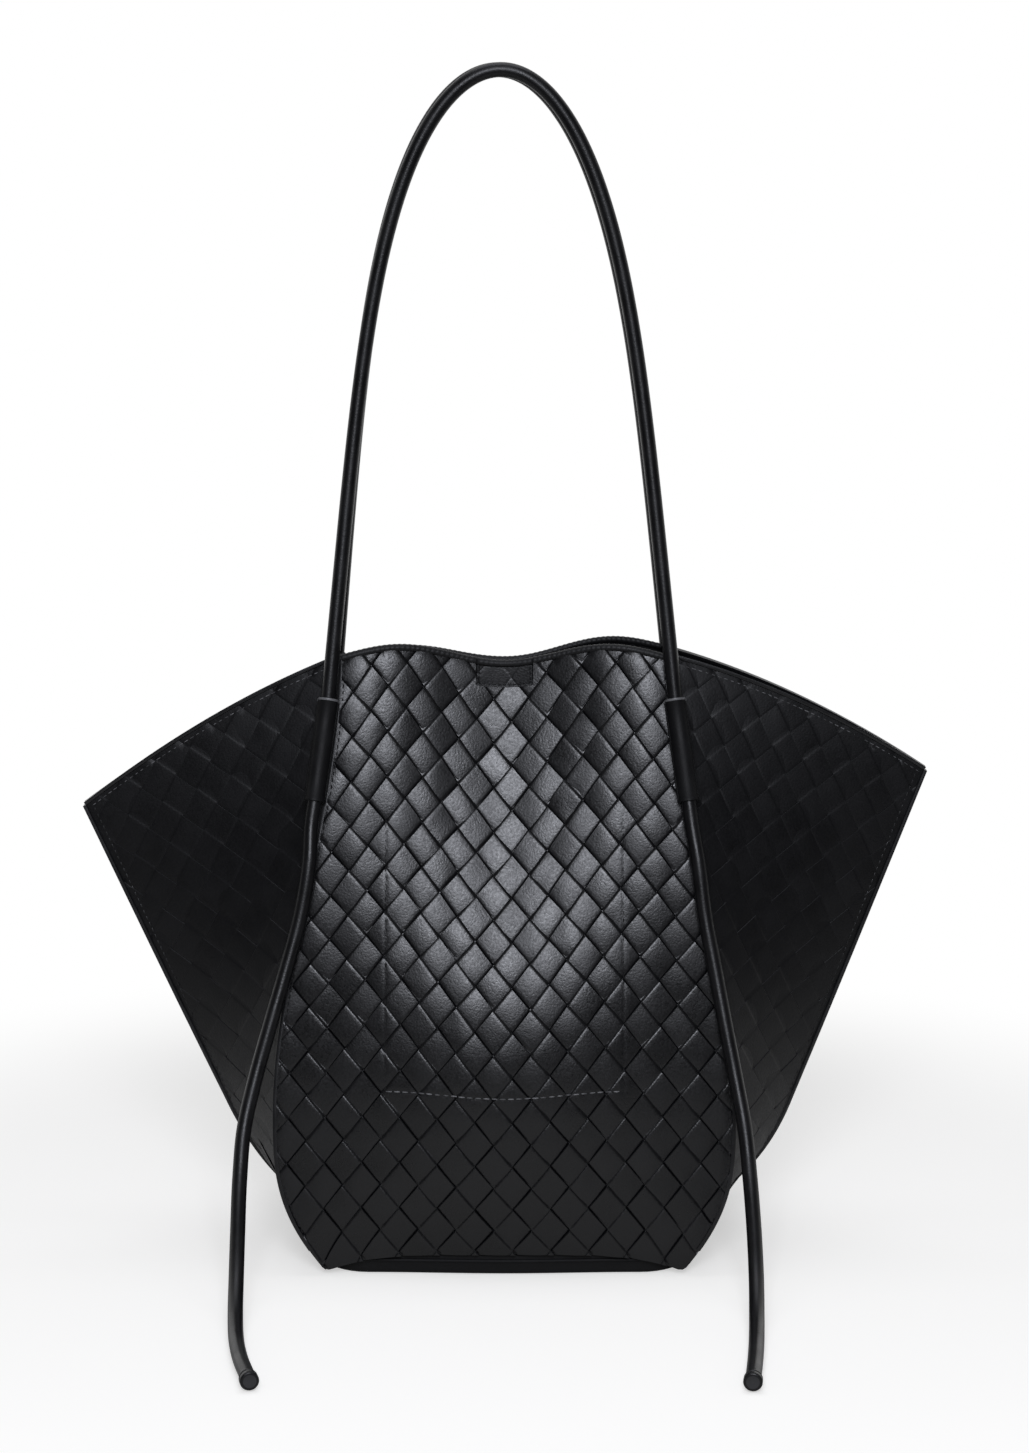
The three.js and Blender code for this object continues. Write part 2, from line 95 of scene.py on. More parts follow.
# Routes of the loose tails below their sleeves, the same points as in the solids, in metres
TAIL_ROUTES = {
    "front_left": [
        (-0.09, -0.048, 0.192), (-0.094, -0.053, 0.168), (-0.1005, -0.059, 0.144), (-0.1075, -0.066, 0.12),
        (-0.114, -0.073, 0.097), (-0.119, -0.082, 0.075), (-0.1205, -0.093, 0.054), (-0.1205, -0.108, 0.035),
        (-0.12, -0.126, 0.019), (-0.119, -0.146, 0.009), (-0.117, -0.168, 0.005), (-0.1135, -0.191, 0.0045),
        (-0.1085, -0.214, 0.0045),
    ],
    "front_right": [
        (0.0895, -0.048, 0.192), (0.0925, -0.053, 0.168), (0.097, -0.059, 0.144), (0.1015, -0.066, 0.12),
        (0.106, -0.073, 0.097), (0.11, -0.082, 0.075), (0.112, -0.093, 0.054), (0.113, -0.108, 0.035),
        (0.113, -0.126, 0.019), (0.112, -0.146, 0.009), (0.1105, -0.168, 0.005), (0.1085, -0.191, 0.0045),
        (0.106, -0.215, 0.0045),
    ],
    "back_left": [
        (-0.0895, 0.048, 0.192), (-0.0905, 0.055, 0.168), (-0.09, 0.063, 0.144), (-0.0885, 0.0715, 0.12),
        (-0.0865, 0.0795, 0.097), (-0.0845, 0.088, 0.075), (-0.0825, 0.098, 0.054), (-0.08, 0.112, 0.035),
        (-0.0775, 0.129, 0.019), (-0.075, 0.149, 0.009), (-0.0725, 0.17, 0.005), (-0.07, 0.192, 0.0045),
        (-0.0675, 0.214, 0.0045),
    ],
    "back_right": [
        (0.0895, 0.048, 0.192), (0.091, 0.055, 0.168), (0.0905, 0.063, 0.144), (0.089, 0.0715, 0.12),
        (0.0865, 0.0795, 0.097), (0.0835, 0.088, 0.075), (0.0805, 0.098, 0.054), (0.0775, 0.112, 0.035),
        (0.074, 0.129, 0.019), (0.07, 0.149, 0.009), (0.066, 0.17, 0.005), (0.062, 0.1915, 0.0045),
        (0.058, 0.213, 0.0045),
    ],
}

# Plait of the panels: distance between crossings across the panel (less towards the top) and up it, how far
# the first crossing lies from the middle and the foot, and the seed for the small differences between strips
PLAIT_WIDE, PLAIT_NARROWS, PLAIT_HIGH = 17.7, 0.0052, 20.89
PLAIT_START = {"front": (5.0, 12.48), "back": (2.4, 9.0)}
PLAIT_SEED, WING_SEED = {"front": 11, "back": 12}, 20
# One strip: distance to the next, half width as a share of that, thickness, rise at a crossing and lean of
# the two families, how flat it lies on a crossing, and where along a crossing it is given a section
STRIP_PITCH, STRIP_HALF, STRIP_THICK = 13.4, 0.49, 0.8
STRIP_LIFT, STRIP_LEAN, STRIP_FLAT, STRIP_CENTRE = (0.5, 0.4), (1.1, 0.85), 9, 0.25
STRIP_STEPS = (-0.5, -0.48, -0.46, -0.42, -0.32, -0.12, 0.12, 0.32, 0.42, 0.46, 0.48)
# Small differences from crossing to crossing: height, tilt and, for a whole strip, its place
STRIP_UNEVEN, STRIP_TILT, STRIP_WANDER = 0.05, 0.016, 0.012
# Section of a strip: crowned, with rounded edges, one of them prouder than the other
STRIP_SECTION = [(-1, -0.55), (-0.99, -0.35), (-0.965, -0.2), (-0.7, 0.0), (-0.35, 0.11), (0.1, 0.18), (0.5, 0.19),
                 (0.965, 0.09), (0.99, -0.08), (1, -0.32), (1, -STRIP_THICK), (-1, -STRIP_THICK)]
# Cut edge of a strip, out from its middle, where the leather is paler and is painted lighter as a highlight
CUT_EDGE_FROM, CUT_EDGE_TO = 6.15, 6.5
# The wings' plait is pressed to a fifth of the height, and a thin backing lies under every plait
WING_RELIEF, BACKING = 0.2, 0.2
# Along a seam the plait is pressed to this share of its height, over this width
SEWN_FLAT, SEWN_WIDE = 0.5, 5
# Plait of the wings: crossings counted along the wing's top edge and square to it, by x and z, and their shift
# on the back halves
WING_SLIDE = {"front": 0.0, "back": 0.3}
WING_PLAIT = {
    "right": ((0.06508, -0.00746, -8.377), (0.02392, 0.04884, -14.228)),
    "left": ((0.05665, 0.00930, 7.158), (-0.01998, 0.04836, -11.997)),
}

# Stitches, and how far their rows lie in from the seam, the wing's top and its outer edge
STITCH_PITCH, STITCH_LONG, STITCH_R = 3.2, 2.3, 0.36
SEAM_INSET, WING_TOP_INSET, WING_OUTER_INSET = 2.6, 2, 3
# Top binding: half its thickness and height, how far it laps down, its slanting ridges, and how close its points lie
BINDING_THICK, BINDING_TALL, BINDING_LAP = 1.45, 1.75, 1.2
BINDING_RIDGE, BINDING_PITCH, BINDING_SPACING = 0.09, 2.4, 0.5
# Along and out from the middle of one stitch: share of its length, of its radius, and rise in radii
STITCH_FORM = [(-0.5, 0.45, -0.75), (-0.38, 0.85, -0.1), (0, 1, 0.25), (0.38, 0.85, -0.1), (0.5, 0.45, -0.75)]
# Turned form of a tail's cap, from the strap outwards: distance and radius
CAP_FORM = [(0.0, 3.55), (0.15, 3.9), (0.7, 4.15), (1.2, 3.9), (1.5, 3.75), (1.9, 4.05), (2.4, 4.2), (4.2, 4.2),
            (4.75, 4.0), (5.0, 3.5), (4.95, 2.9)]
# A sleeve from its foot up: height and how far it swells. Its top two bands carry a painted highlight.
SLEEVE_FORM = [(0, 0.0), (0.15, 0.3), (1.1, 0.32), (1.6, 0.0), (12, 0.0), (24, 0.1), (36, 0.0), (46.4, 0.0),
               (46.9, 0.32), (47.85, 0.3), (48, 0.0)]
SLEEVE_PAINTED_HIGHLIGHT_BANDS = (8, 10)


# Camera at the photograph's place: 1.66 m in front, 0.54 m up, 10 degrees down
camera = bpy.data.objects.new("camera", bpy.data.cameras.new("camera"))
bpy.context.scene.collection.objects.link(camera)
camera.location = (0.00466, -1.66, 0.54)
camera.rotation_euler = (math.radians(80), 0, 0)
camera.data.sensor_width = 36
camera.data.lens = 88.55
bpy.context.scene.camera = camera
bpy.context.scene.view_settings.view_transform = "Standard"


def mix(a, b, t):
    return a + (b - a) * t


def ease(t):
    c = np.clip(t, 0, 1)
    return c * c * (3 - 2 * c)


def crown(t):
    """1 at the middle, falling smoothly to 0 at -1 and 1."""
    return (1 + np.cos(np.pi * t)) / 2


def unit(v):
    return v / np.maximum(np.linalg.norm(v, axis=-1, keepdims=True), 1e-12)


# Form of the panels and wings
def panel_half(height):
    """Half width of a panel: widest low down, narrower to the foot and to the top."""
    fall = np.clip((PANEL_WIDEST_AT - height) / (PANEL_WIDEST_AT - PANEL_FOOT), 0, None)
    rise = (height - PANEL_WIDEST_AT) / (PANEL_TOP - PANEL_WIDEST_AT)
    low = PANEL_WIDEST_HALF - (PANEL_WIDEST_HALF - PANEL_FOOT_HALF) * fall**3
    return np.where(height < PANEL_WIDEST_AT, low, mix(PANEL_WIDEST_HALF, PANEL_TOP_HALF, ease(rise)))


def seam_depth(share):
    """Depth of a side seam, from the base at share 0 to the mouth at share 1."""
    return mix(PANEL_DEPTH, TOP_HALF_GAP, 1 - np.cos(share * np.pi / 2))


def centre_depth(share):
    """Depth of a panel's middle: bellied low down, and pinched in towards the magnet."""
    height = mix(PANEL_FOOT, PANEL_TOP, share)
    free = seam_depth(share) + BASE_BOW * (1 - share) ** 2 + BELLY * share * (1 - share) ** 2 * 27 / 4
    pinched = PINCH + (PANEL_TOP - height) * PINCH_LEAN
    return mix(free, pinched, ease((height - PINCH_FROM) / (PATCH_AT - PINCH_FROM)))


def panel_point(across, share, face):
    """A point on a panel, -1 to 1 across it and 0 to 1 up it. Face is -1 for the front, 1 for the back."""
    x = across * panel_half(mix(PANEL_FOOT, PANEL_TOP, share))
    sag = BACK_SAG * ease(-x / PANEL_TOP_HALF) if face > 0 else 0
    top = PANEL_TOP - TOP_DIP * crown(2 * x / TOP_WAVE) - sag
    y = face * mix(seam_depth(share), centre_depth(share), crown(across))
    return np.stack(np.broadcast_arrays(x, y, mix(PANEL_FOOT, top, share)), -1)


def wing_edge(share, hand):
    """Outer edge of a wing: straight from its tip to its knee, then round to the heel at the base."""
    tip, knee = WING_TIP_HEIGHT[hand], WING_KNEE[hand]
    height = mix(WING_FOOT, tip, share)
    slope = (WING_TIP - knee) / (tip - WING_KNEE_HEIGHT)
    heel = knee - slope * (WING_KNEE_HEIGHT - WING_HEEL_HEIGHT)
    bend = WING_FOOT - 2 * WING_HEEL_HEIGHT + WING_KNEE_HEIGHT
    lead = WING_HEEL_HEIGHT - WING_FOOT
    t = (np.sqrt(np.maximum(0, lead * lead + bend * (height - WING_FOOT))) - lead) / bend
    low = (1 - t) ** 2 * BASE_HALF_WIDTH + 2 * t * (1 - t) * heel + t * t * knee
    return np.where(height > WING_KNEE_HEIGHT, knee + slope * (height - WING_KNEE_HEIGHT), low), height


def wing_point(across, share, hand, face):
    """A point on a wing half, from its seam at 0 across to its outer edge at 1."""
    sign = -1.0 if hand == "left" else 1.0
    seam = panel_point(sign, share, face)
    edge_x, edge_z = wing_edge(share, hand)
    start, depth = np.abs(seam[..., 0]) - SEAM_LAP, np.abs(seam[..., 1])
    run = np.hypot(edge_x - start, edge_z - seam[..., 2])
    facing = run / np.hypot(run, depth)
    inner = depth - SHEET / 2 - 2 * GAP - facing * SHEET / 2
    outer = GAP / 2 + facing * SHEET / 2
    lift = WING_TOP_CROWN * 4 * across * (1 - across) * np.clip(share, 0, None) ** 3
    z = np.maximum(WING_FOOT, mix(seam[..., 2], edge_z, across) + lift)
    x, y = mix(start, edge_x, across), mix(inner, outer, across)
    return np.stack(np.broadcast_arrays(sign * x, face * y, z), -1)


def outward_normal(surface, i, j, sign):
    """Direction square to a surface. The sign turns it outwards."""
    step = 1e-3
    along = surface(i + step, j) - surface(i - step, j)
    up = surface(i, j + step) - surface(i, j - step)
    return sign * unit(np.cross(along, up))


def sleeve_axis(hand, face):
    """Middle of a sleeve's top rim, the direction up its bore, and the direction out from the panel."""
    sign = -1.0 if hand == "left" else 1.0
    share = lambda height: (height - PANEL_FOOT) / (PANEL_TOP - PANEL_FOOT)
    high = panel_point(sign, share(SLEEVE_TOP), face)
    low = panel_point(sign, share(SLEEVE_TOP - SLEEVE_LENGTH), face)
    middle = panel_point(sign, share(SLEEVE_TOP - SLEEVE_LENGTH / 2), face)
    up = unit(high - low)
    outward = unit(np.array([0, face, 0]) - face * up[1] * up)
    bow = (middle - high) @ outward - (low - high) @ outward / 2
    rim = high + outward * (STRAP_STANDOFF + max(0, bow))
    rim[0] += sign * SLEEVE_OUT[hand]
    return rim, up, outward


def distance_along(line):
    return np.concatenate([[0], np.cumsum(np.linalg.norm(np.diff(line, axis=0), axis=1))])


def even_line(points, spacing):
    """The same line with points an even distance apart."""
    run = distance_along(points)
    marks = np.linspace(0, run[-1], max(2, int(round(run[-1] / spacing)) + 1))
    return np.stack([np.interp(marks, run, points[:, k]) for k in range(3)], -1)


def handle_line(side):
    """Middle line of a handle, up from its left sleeve and down to its right one."""
    face = FACES[side]
    q = np.linspace(-1, 1, 1601)
    turn = np.sign(q) * (1 - (1 - np.abs(q)) ** 3) * np.pi / 2
    rise = np.clip(np.cos(turn), 0, None) ** (2 / HANDLE_SQUARENESS)
    left, right = sleeve_axis("left", face)[0], sleeve_axis("right", face)[0]
    rim = np.where((turn < 0)[:, None], left, right)
    x = np.abs(rim[:, 0]) * (1 - HANDLE_TAPER * rise) * np.sin(turn) + HANDLE_SHIFT[side] * rise
    y = face * mix(STRAP_R + GAP, np.abs(rim[:, 1]), (1 - rise) ** 2)
    return even_line(np.stack([x, y, mix(rim[:, 2] + 2 * GAP, HANDLE_APEX, rise)], -1), STRAP_SPACING)


def tail_line(name):
    """Middle line of a tail: down through its sleeve and smoothly through each point of its route."""
    side, hand = name.split("_")
    rim, up, _ = sleeve_axis(hand, FACES[side])
    inside, foot = rim - GAP * up, rim - SLEEVE_LENGTH * up
    route = np.array(TAIL_ROUTES[name]) / MM
    points = np.array([inside, (inside + foot) / 2, foot, foot - TAIL_RUN_OUT * up, *route])
    points = np.concatenate([[2 * points[0] - points[1]], points, [2 * points[-1] - points[-2]]])
    spans = []
    for a, b, c, d in zip(points, points[1:], points[2:], points[3:]):
        k0, k1, k2 = (max(np.linalg.norm(v) ** 0.5, 1e-6) for v in (b - a, c - b, d - c))
        leave = ((b - a) / k0 - (c - a) / (k0 + k1) + (c - b) / k1) * k1
        arrive = ((c - b) / k1 - (d - b) / (k1 + k2) + (d - c) / k2) * k1
        t = np.linspace(0, 1, 40, endpoint=False)[:, None]
        square, cube = 3 * (c - b) - 2 * leave - arrive, 2 * (b - c) + leave + arrive
        spans.append(b + leave * t + square * t**2 + cube * t**3)
    return even_line(np.concatenate([*spans, points[-2:-1]]), STRAP_SPACING)


# Materials. A colour is written in sRGB and turned to linear here.
def colour(code):
    parts = [int(code[k : k + 2], 16) / 255 for k in (1, 3, 5)]
    return (*[c / 12.92 if c <= 0.04045 else ((c + 0.055) / 1.055) ** 2.4 for c in parts], 1)


def fill(tree, node, sockets):
    """Sets a node's sockets to values, or links them to the sockets of other nodes."""
    for key, value in sockets.items():
        if isinstance(value, bpy.types.NodeSocket):
            tree.links.new(value, node.inputs[key])
        else:
            node.inputs[key].default_value = value


def add(tree, kind, sockets=None, ramp=(), **settings):
    """A node with its settings and sockets, and the stops of a colour ramp as (place, colour)."""
    node = tree.nodes.new(kind)
    for key, value in settings.items():
        setattr(node, key, value)
    for k, (at, code) in enumerate(ramp):
        node.color_ramp.elements[k].position, node.color_ramp.elements[k].color = at, colour(code)
    fill(tree, node, sockets or {})
    return node


def new_finish(name):
    """A material, its nodes, its shader, and the place on the object that patterns are laid out by."""
    material = bpy.data.materials.new(name)
    material.use_nodes = True
    tree = material.node_tree
    return material, tree, tree.nodes["Principled BSDF"], add(tree, "ShaderNodeTexCoord").outputs["Object"]


def per_mm(size):
    """A texture's scale for a mark of that size in millimetres."""
    return 1 / (size * MM)


def plaited_cowhide(name, smooth, dull, ior):
    # Cowhide dyed black in the drum, pressed smooth under heat and cut in strips: the crown of each strip has a
    # broad soft gloss over a fine grain, crossings differ a little in tone, and the cut edges are drier and paler,
    # with a painted highlight laid along every strip edge on top of that paleness.
    # Grain and pores, about 0.3 mm on the real hide, are drawn three times coarser so that they show.
    material, tree, shader, place = new_finish(name)
    strip = add(tree, "ShaderNodeAttribute", attribute_name="strip")
    on_strip = add(tree, "ShaderNodeSeparateXYZ", {"Vector": strip.outputs["Vector"]})
    grain = add(tree, "ShaderNodeTexVoronoi", {"Vector": place, "Scale": per_mm(0.9)})
    pores = add(tree, "ShaderNodeTexNoise", {"Vector": place, "Scale": per_mm(1.0), "Detail": 3.0})
    cloud = add(tree, "ShaderNodeTexNoise", {"Vector": place, "Scale": per_mm(14), "Detail": 3.0})
    height = add(tree, "ShaderNodeMath", {0: grain.outputs["Distance"], 1: 0.3, 2: pores.outputs[0]},
                 operation="MULTIPLY_ADD")
    bump = add(tree, "ShaderNodeBump", {"Strength": 0.27, "Distance": 0.3 * MM, "Height": height.outputs[0]})
    patchy = add(tree, "ShaderNodeMath", {0: cloud.outputs[0], 1: 0.6}, operation="MULTIPLY")
    tone = add(tree, "ShaderNodeMath", {0: on_strip.outputs["Z"], 1: 0.4, 2: patchy.outputs[0]},
               operation="MULTIPLY_ADD")
    colour_ramp = add(tree, "ShaderNodeValToRGB", {"Fac": tone.outputs[0]}, ramp=[(0.3, "#09090b"), (0.75, "#111113")])
    # Towards each cut edge the colour turns pale grey: partly the paler raw edge, partly a painted highlight
    out = add(tree, "ShaderNodeMath", {0: on_strip.outputs["Y"]}, operation="ABSOLUTE")
    edge = add(tree, "ShaderNodeMapRange",
               {"Value": out.outputs[0], 1: CUT_EDGE_FROM, 2: CUT_EDGE_TO, 3: 0.0, 4: 0.8})
    pale_edge_and_painted_highlight = add(tree, "ShaderNodeMix", {"Factor": edge.outputs[0], 6: colour_ramp.outputs[0], 7: colour("#1c1c1e")},
               data_type="RGBA")
    gloss = add(tree, "ShaderNodeMapRange", {"Value": tone.outputs[0], 1: 0.25, 2: 0.8, 3: smooth, 4: dull})
    rough = add(tree, "ShaderNodeMath", {0: pores.outputs[0], 1: 0.3, 2: gloss.outputs[0]}, operation="MULTIPLY_ADD")
    fill(tree, shader, {"Base Color": pale_edge_and_painted_highlight.outputs[2], "Roughness": rough.outputs[0], "Normal": bump.outputs[0],
                        "IOR": ior})
    return material


def smooth_leather(name, dark, light, grain_mm, rough, bump_strength, ior=1.52):
    # Leather dyed black and glazed, painted or left dull: nearly plain, with a fine grain and a narrow shine along
    # a roll. The grain, about 0.3 mm on real calf, is drawn two to four times coarser so that it shows.
    material, tree, shader, place = new_finish(name)
    grain = add(tree, "ShaderNodeTexVoronoi", {"Vector": place, "Scale": per_mm(grain_mm)})
    pores = add(tree, "ShaderNodeTexNoise", {"Vector": place, "Scale": per_mm(0.5), "Detail": 3.0})
    cloud = add(tree, "ShaderNodeTexNoise", {"Vector": place, "Scale": per_mm(11), "Detail": 4.0})
    height = add(tree, "ShaderNodeMath", {0: pores.outputs[0], 1: 0.5, 2: grain.outputs["Distance"]},
                 operation="MULTIPLY_ADD")
    bump = add(tree, "ShaderNodeBump",
               {"Strength": bump_strength, "Distance": 0.25 * MM, "Height": height.outputs[0]})
    colour_ramp = add(tree, "ShaderNodeValToRGB", {"Fac": cloud.outputs[0]}, ramp=[(0.35, dark), (0.7, light)])
    gloss = add(tree, "ShaderNodeMapRange",
                {"Value": cloud.outputs[0], 1: 0.3, 2: 0.7, 3: rough - 0.04, 4: rough + 0.07})
    fill(tree, shader, {"Base Color": colour_ramp.outputs[0], "Roughness": gloss.outputs[0], "Normal": bump.outputs[0],
                        "IOR": ior})
    return material


def twisted_thread(name, dark, light, rough):
    # Bonded polyester thread: its tight twist glints in slanted light and dark bands, which are painted into its
    # colour as painted glint and shade. The real twist is about 1 mm.
    # It is drawn some ten times coarser, because a stitch is too small for more than one tone to show on it.
    material, tree, shader, place = new_finish(name)
    twist = add(tree, "ShaderNodeTexWave", {"Vector": place, "Scale": per_mm(18), "Distortion": 2.0},
                bands_direction="DIAGONAL")
    # Painted glint and shade: the colour runs from dark to light with the bands of the twist
    colour_ramp = add(tree, "ShaderNodeValToRGB", {"Fac": twist.outputs[0]}, ramp=[(0, dark), (1, light)])
    bump = add(tree, "ShaderNodeBump", {"Strength": 0.4, "Distance": 0.1 * MM, "Height": twist.outputs[0]})
    fill(tree, shader, {"Base Color": colour_ramp.outputs[0], "Roughness": rough, "Normal": bump.outputs[0], "IOR": 1.53})
    return material


def brushed_cotton(name, dark, light, rib_mm):
    # Cotton, woven as twill or braided, dyed and brushed on the face: slanted ribs under a dull short nap. The real
    # ribs are about 1 mm and are drawn some ten times coarser, as soft bands that show inside the bag.
    material, tree, shader, place = new_finish(name)
    ribs = add(tree, "ShaderNodeTexWave", {"Vector": place, "Scale": per_mm(rib_mm), "Distortion": 0.6},
               bands_direction="DIAGONAL")
    nap = add(tree, "ShaderNodeTexNoise", {"Vector": place, "Scale": per_mm(0.8), "Detail": 5.0})
    height = add(tree, "ShaderNodeMath", {0: nap.outputs[0], 1: 0.6, 2: ribs.outputs[1]}, operation="MULTIPLY_ADD")
    colour_ramp = add(tree, "ShaderNodeValToRGB", {"Fac": nap.outputs[0]}, ramp=[(0.3, dark), (0.75, light)])
    bump = add(tree, "ShaderNodeBump", {"Strength": 0.5, "Distance": 0.25 * MM, "Height": height.outputs[0]})
    fill(tree, shader, {"Base Color": colour_ramp.outputs[0], "Roughness": 0.9, "Normal": bump.outputs[0],
                        "Sheen Weight": 0.25})
    return material


def pressed_greyboard():
    # Greyboard, pressed from pulped paper: dull, with flecks of fibre in two greys.
    material, tree, shader, place = new_finish("pressed_greyboard")
    fibre = add(tree, "ShaderNodeTexNoise",
                {"Vector": place, "Scale": per_mm(1.6), "Detail": 6.0, "Distortion": 1.2})
    colour_ramp = add(tree, "ShaderNodeValToRGB", {"Fac": fibre.outputs[0]}, ramp=[(0.35, "#5c5650"), (0.65, "#77706a")])
    bump = add(tree, "ShaderNodeBump", {"Strength": 0.3, "Distance": 0.2 * MM, "Height": fibre.outputs[0]})
    fill(tree, shader, {"Base Color": colour_ramp.outputs[0], "Roughness": 0.88, "Normal": bump.outputs[0]})
    return material


def nickel_plated_steel():
    # Steel plated with bright nickel: a warm grey mirror with faint rubbing marks.
    material, tree, shader, place = new_finish("nickel_plated_steel")
    rub = add(tree, "ShaderNodeTexNoise", {"Vector": place, "Scale": per_mm(2.5), "Detail": 6.0})
    gloss = add(tree, "ShaderNodeMapRange", {"Value": rub.outputs[0], 1: 0.3, 2: 0.7, 3: 0.16, 4: 0.34})
    fill(tree, shader, {"Base Color": colour("#c4c0b8"), "Metallic": 1.0, "Roughness": gloss.outputs[0]})
    return material


# The photo shows the gussets, sleeves, base, binding and straps duller than the panels: their lower IOR stands in
# for a dull wax finish
PLAIT = plaited_cowhide("plaited_cowhide", 0.15, 0.23, 1.52)
GUSSET = plaited_cowhide("plaited_cowhide_gusset", 0.27, 0.37, 1.35)
SLEEVE = smooth_leather("dull_calf_sleeve", "#09090b", "#0e0e10", 0.9, 0.55, 0.16, 1.32)
BASE = smooth_leather("matt_cowhide_base", "#070708", "#0c0c0e", 1.1, 0.62, 0.22, 1.36)
# The sleeves' top bands: a light grey that is a painted highlight along each rim
SLEEVE_RIM_PAINTED_HIGHLIGHT = smooth_leather("sleeve_rim_painted_highlight", "#58585a", "#747476", 0.7, 0.4, 0.15)
RAW = smooth_leather("cut_leather_end", "#1e1e20", "#303032", 0.7, 0.45, 0.2)
STRAP = smooth_leather("glazed_calf_strap", "#09090b", "#101012", 0.9, 0.36, 0.14, 1.43)
BAND = smooth_leather("folded_cowhide_band", "#09090b", "#101012", 1.1, 0.5, 0.22, 1.4)
EDGE = smooth_leather("painted_leather_edge", "#0e0e10", "#161618", 0.7, 0.36, 0.12)
THREAD = twisted_thread("twisted_polyester_thread", "#0c0c0e", "#1a1a1c", 0.42)
# Pale grey thread: its pale colour is a painted glint on the stitches
PALE_THREAD_PAINTED_GLINT = twisted_thread("pale_thread_painted_glint", "#48484a", "#767678", 0.34)
LINING = brushed_cotton("brushed_cotton_twill", "#151415", "#201f20", 18)
CORD = brushed_cotton("braided_cotton_cord", "#a49d8d", "#c2bbab", 28)
GREYBOARD = pressed_greyboard()
NICKEL = nickel_plated_steel()


# Meshes
def piece(name, points, faces, finish, sharp=38):
    """An object from points in millimetres and faces, all turned outwards."""
    mesh = bpy.data.meshes.new(name)
    mesh.from_pydata((np.asarray(points) * MM).tolist(), [], [list(f) for f in faces])
    work = bmesh.new()
    work.from_mesh(mesh)
    bmesh.ops.recalc_face_normals(work, faces=work.faces)
    work.to_mesh(mesh)
    work.free()
    return shown(name, mesh, finish, sharp)


def shown(name, mesh, finish, sharp=38):
    """Puts a mesh in the scene, smooth but for edges sharper than that angle."""
    mesh.polygons.foreach_set("use_smooth", [True] * len(mesh.polygons))
    mesh.set_sharp_from_angle(angle=math.radians(sharp))
    obj = bpy.data.objects.new(name, mesh)
    bpy.context.scene.collection.objects.link(obj)
    obj.data.materials.append(finish)
    return obj


def directions(line, first):
    """Along, side and out directions of a line, carried along it without twist from a first out direction."""
    along = unit(np.gradient(line, axis=0))
    out = np.empty_like(line)
    last = np.array(first, float)
    for k, t in enumerate(along):
        last = last - t * (last @ t)
        last = last / np.linalg.norm(last)
        out[k] = last
    return along, np.cross(out, along), out


def swept(line, side, out, section):
    """Points and faces of a closed tube. A section is a loop of (sideways, outwards) for each point of the line."""
    section = np.broadcast_to(np.asarray(section, float), (len(line), *np.shape(section)[-2:]))
    points = line[:, None] + side[:, None] * section[..., :1] + out[:, None] * section[..., 1:]
    rings, count = points.shape[:2]
    faces = []
    for r in range(rings - 1):
        a, b = r * count, (r + 1) * count
        faces += [(a + k, a + (k + 1) % count, b + (k + 1) % count, b + k) for k in range(count)]
    last = (rings - 1) * count
    faces += [tuple(range(count))[::-1], tuple(range(last, last + count))]
    return points.reshape(-1, 3), faces


def joined(parts):
    """Several sets of points and faces as one."""
    points, faces, start = [], [], 0
    for p, f in parts:
        points.append(p)
        faces += [tuple(v + start for v in face) for face in f]
        start += len(p)
    return np.concatenate(points), faces


def sheet_faces(rows, wide):
    """Faces of a closed sheet whose points are two grids, the near one first."""
    grid = np.arange(rows * wide).reshape(rows, wide)
    a, b, c, d = (k.ravel() for k in (grid[:-1, :-1], grid[:-1, 1:], grid[1:, 1:], grid[1:, :-1]))
    far = rows * wide
    faces = np.concatenate([np.stack([a, b, c, d], -1), np.stack([d, c, b, a], -1) + far])
    ring = np.concatenate([grid[0, :-1], grid[:-1, -1], grid[-1, :0:-1], grid[:0:-1, 0]])
    after = np.roll(ring, -1)
    return [*faces.tolist(), *np.stack([ring, ring + far, after + far, after], -1).tolist()]


def closed_sheet(name, near, far, finish):
    """An object from two grids of points, closed round its border."""
    points = np.concatenate([near.reshape(-1, 3), far.reshape(-1, 3)])
    return piece(name, points, sheet_faces(*near.shape[:2]), finish)


def round_section(radius, sides):
    angle = np.linspace(0, 2 * np.pi, sides, endpoint=False)
    return radius * np.stack([np.sin(angle), np.cos(angle)], -1)


def stitched(line, out, pitch=STITCH_PITCH, long=STITCH_LONG, radius=STITCH_R, sunk=0.1):
    """A row of stitches on a line: each is a short bowed bead of thread that dips into the leather at its ends."""
    run = distance_along(line)
    marks = np.arange(pitch / 2, run[-1], pitch)
    at = lambda a: np.stack([np.interp(marks, run, a[:, k]) for k in range(3)], -1)
    middle, normal = at(line), unit(at(out))
    along = unit(at(np.gradient(line, axis=0)))
    side = np.cross(normal, along)
    ring = round_section(1, 6)
    parts = []
    for m, n, t, s in zip(middle, normal, along, side):
        spine = np.array([m + t * long * f + n * radius * (rise - sunk) for f, _, rise in STITCH_FORM])
        section = np.array([ring * radius * fat for _, fat, _ in STITCH_FORM])
        parts.append(swept(spine, np.tile(s, (len(spine), 1)), np.tile(n, (len(spine), 1)), section))
    return joined(parts)


# Plait of strips over a surface
def strip_rise(family, along):
    """Rise of a strip along its run: steep between crossings, and on each one a curve with its upper end proud."""
    cell = np.round(along)
    over = np.where(cell % 2 == family, 1, -1)
    at = along - cell
    step = np.tanh(STRIP_FLAT * np.cos(np.pi * at)) / math.tanh(STRIP_FLAT)
    return over * STRIP_LIFT[family] * step - STRIP_LEAN[family] * ((0.5 - over * at) ** 2 - 1 / 3)


def plait_top(p, q, relief):
    """Height of the uppermost strip at a place in the plait."""
    return np.maximum(strip_rise(0, p + np.round(q)), strip_rise(1, q + np.round(p))) * relief + STRIP_CENTRE


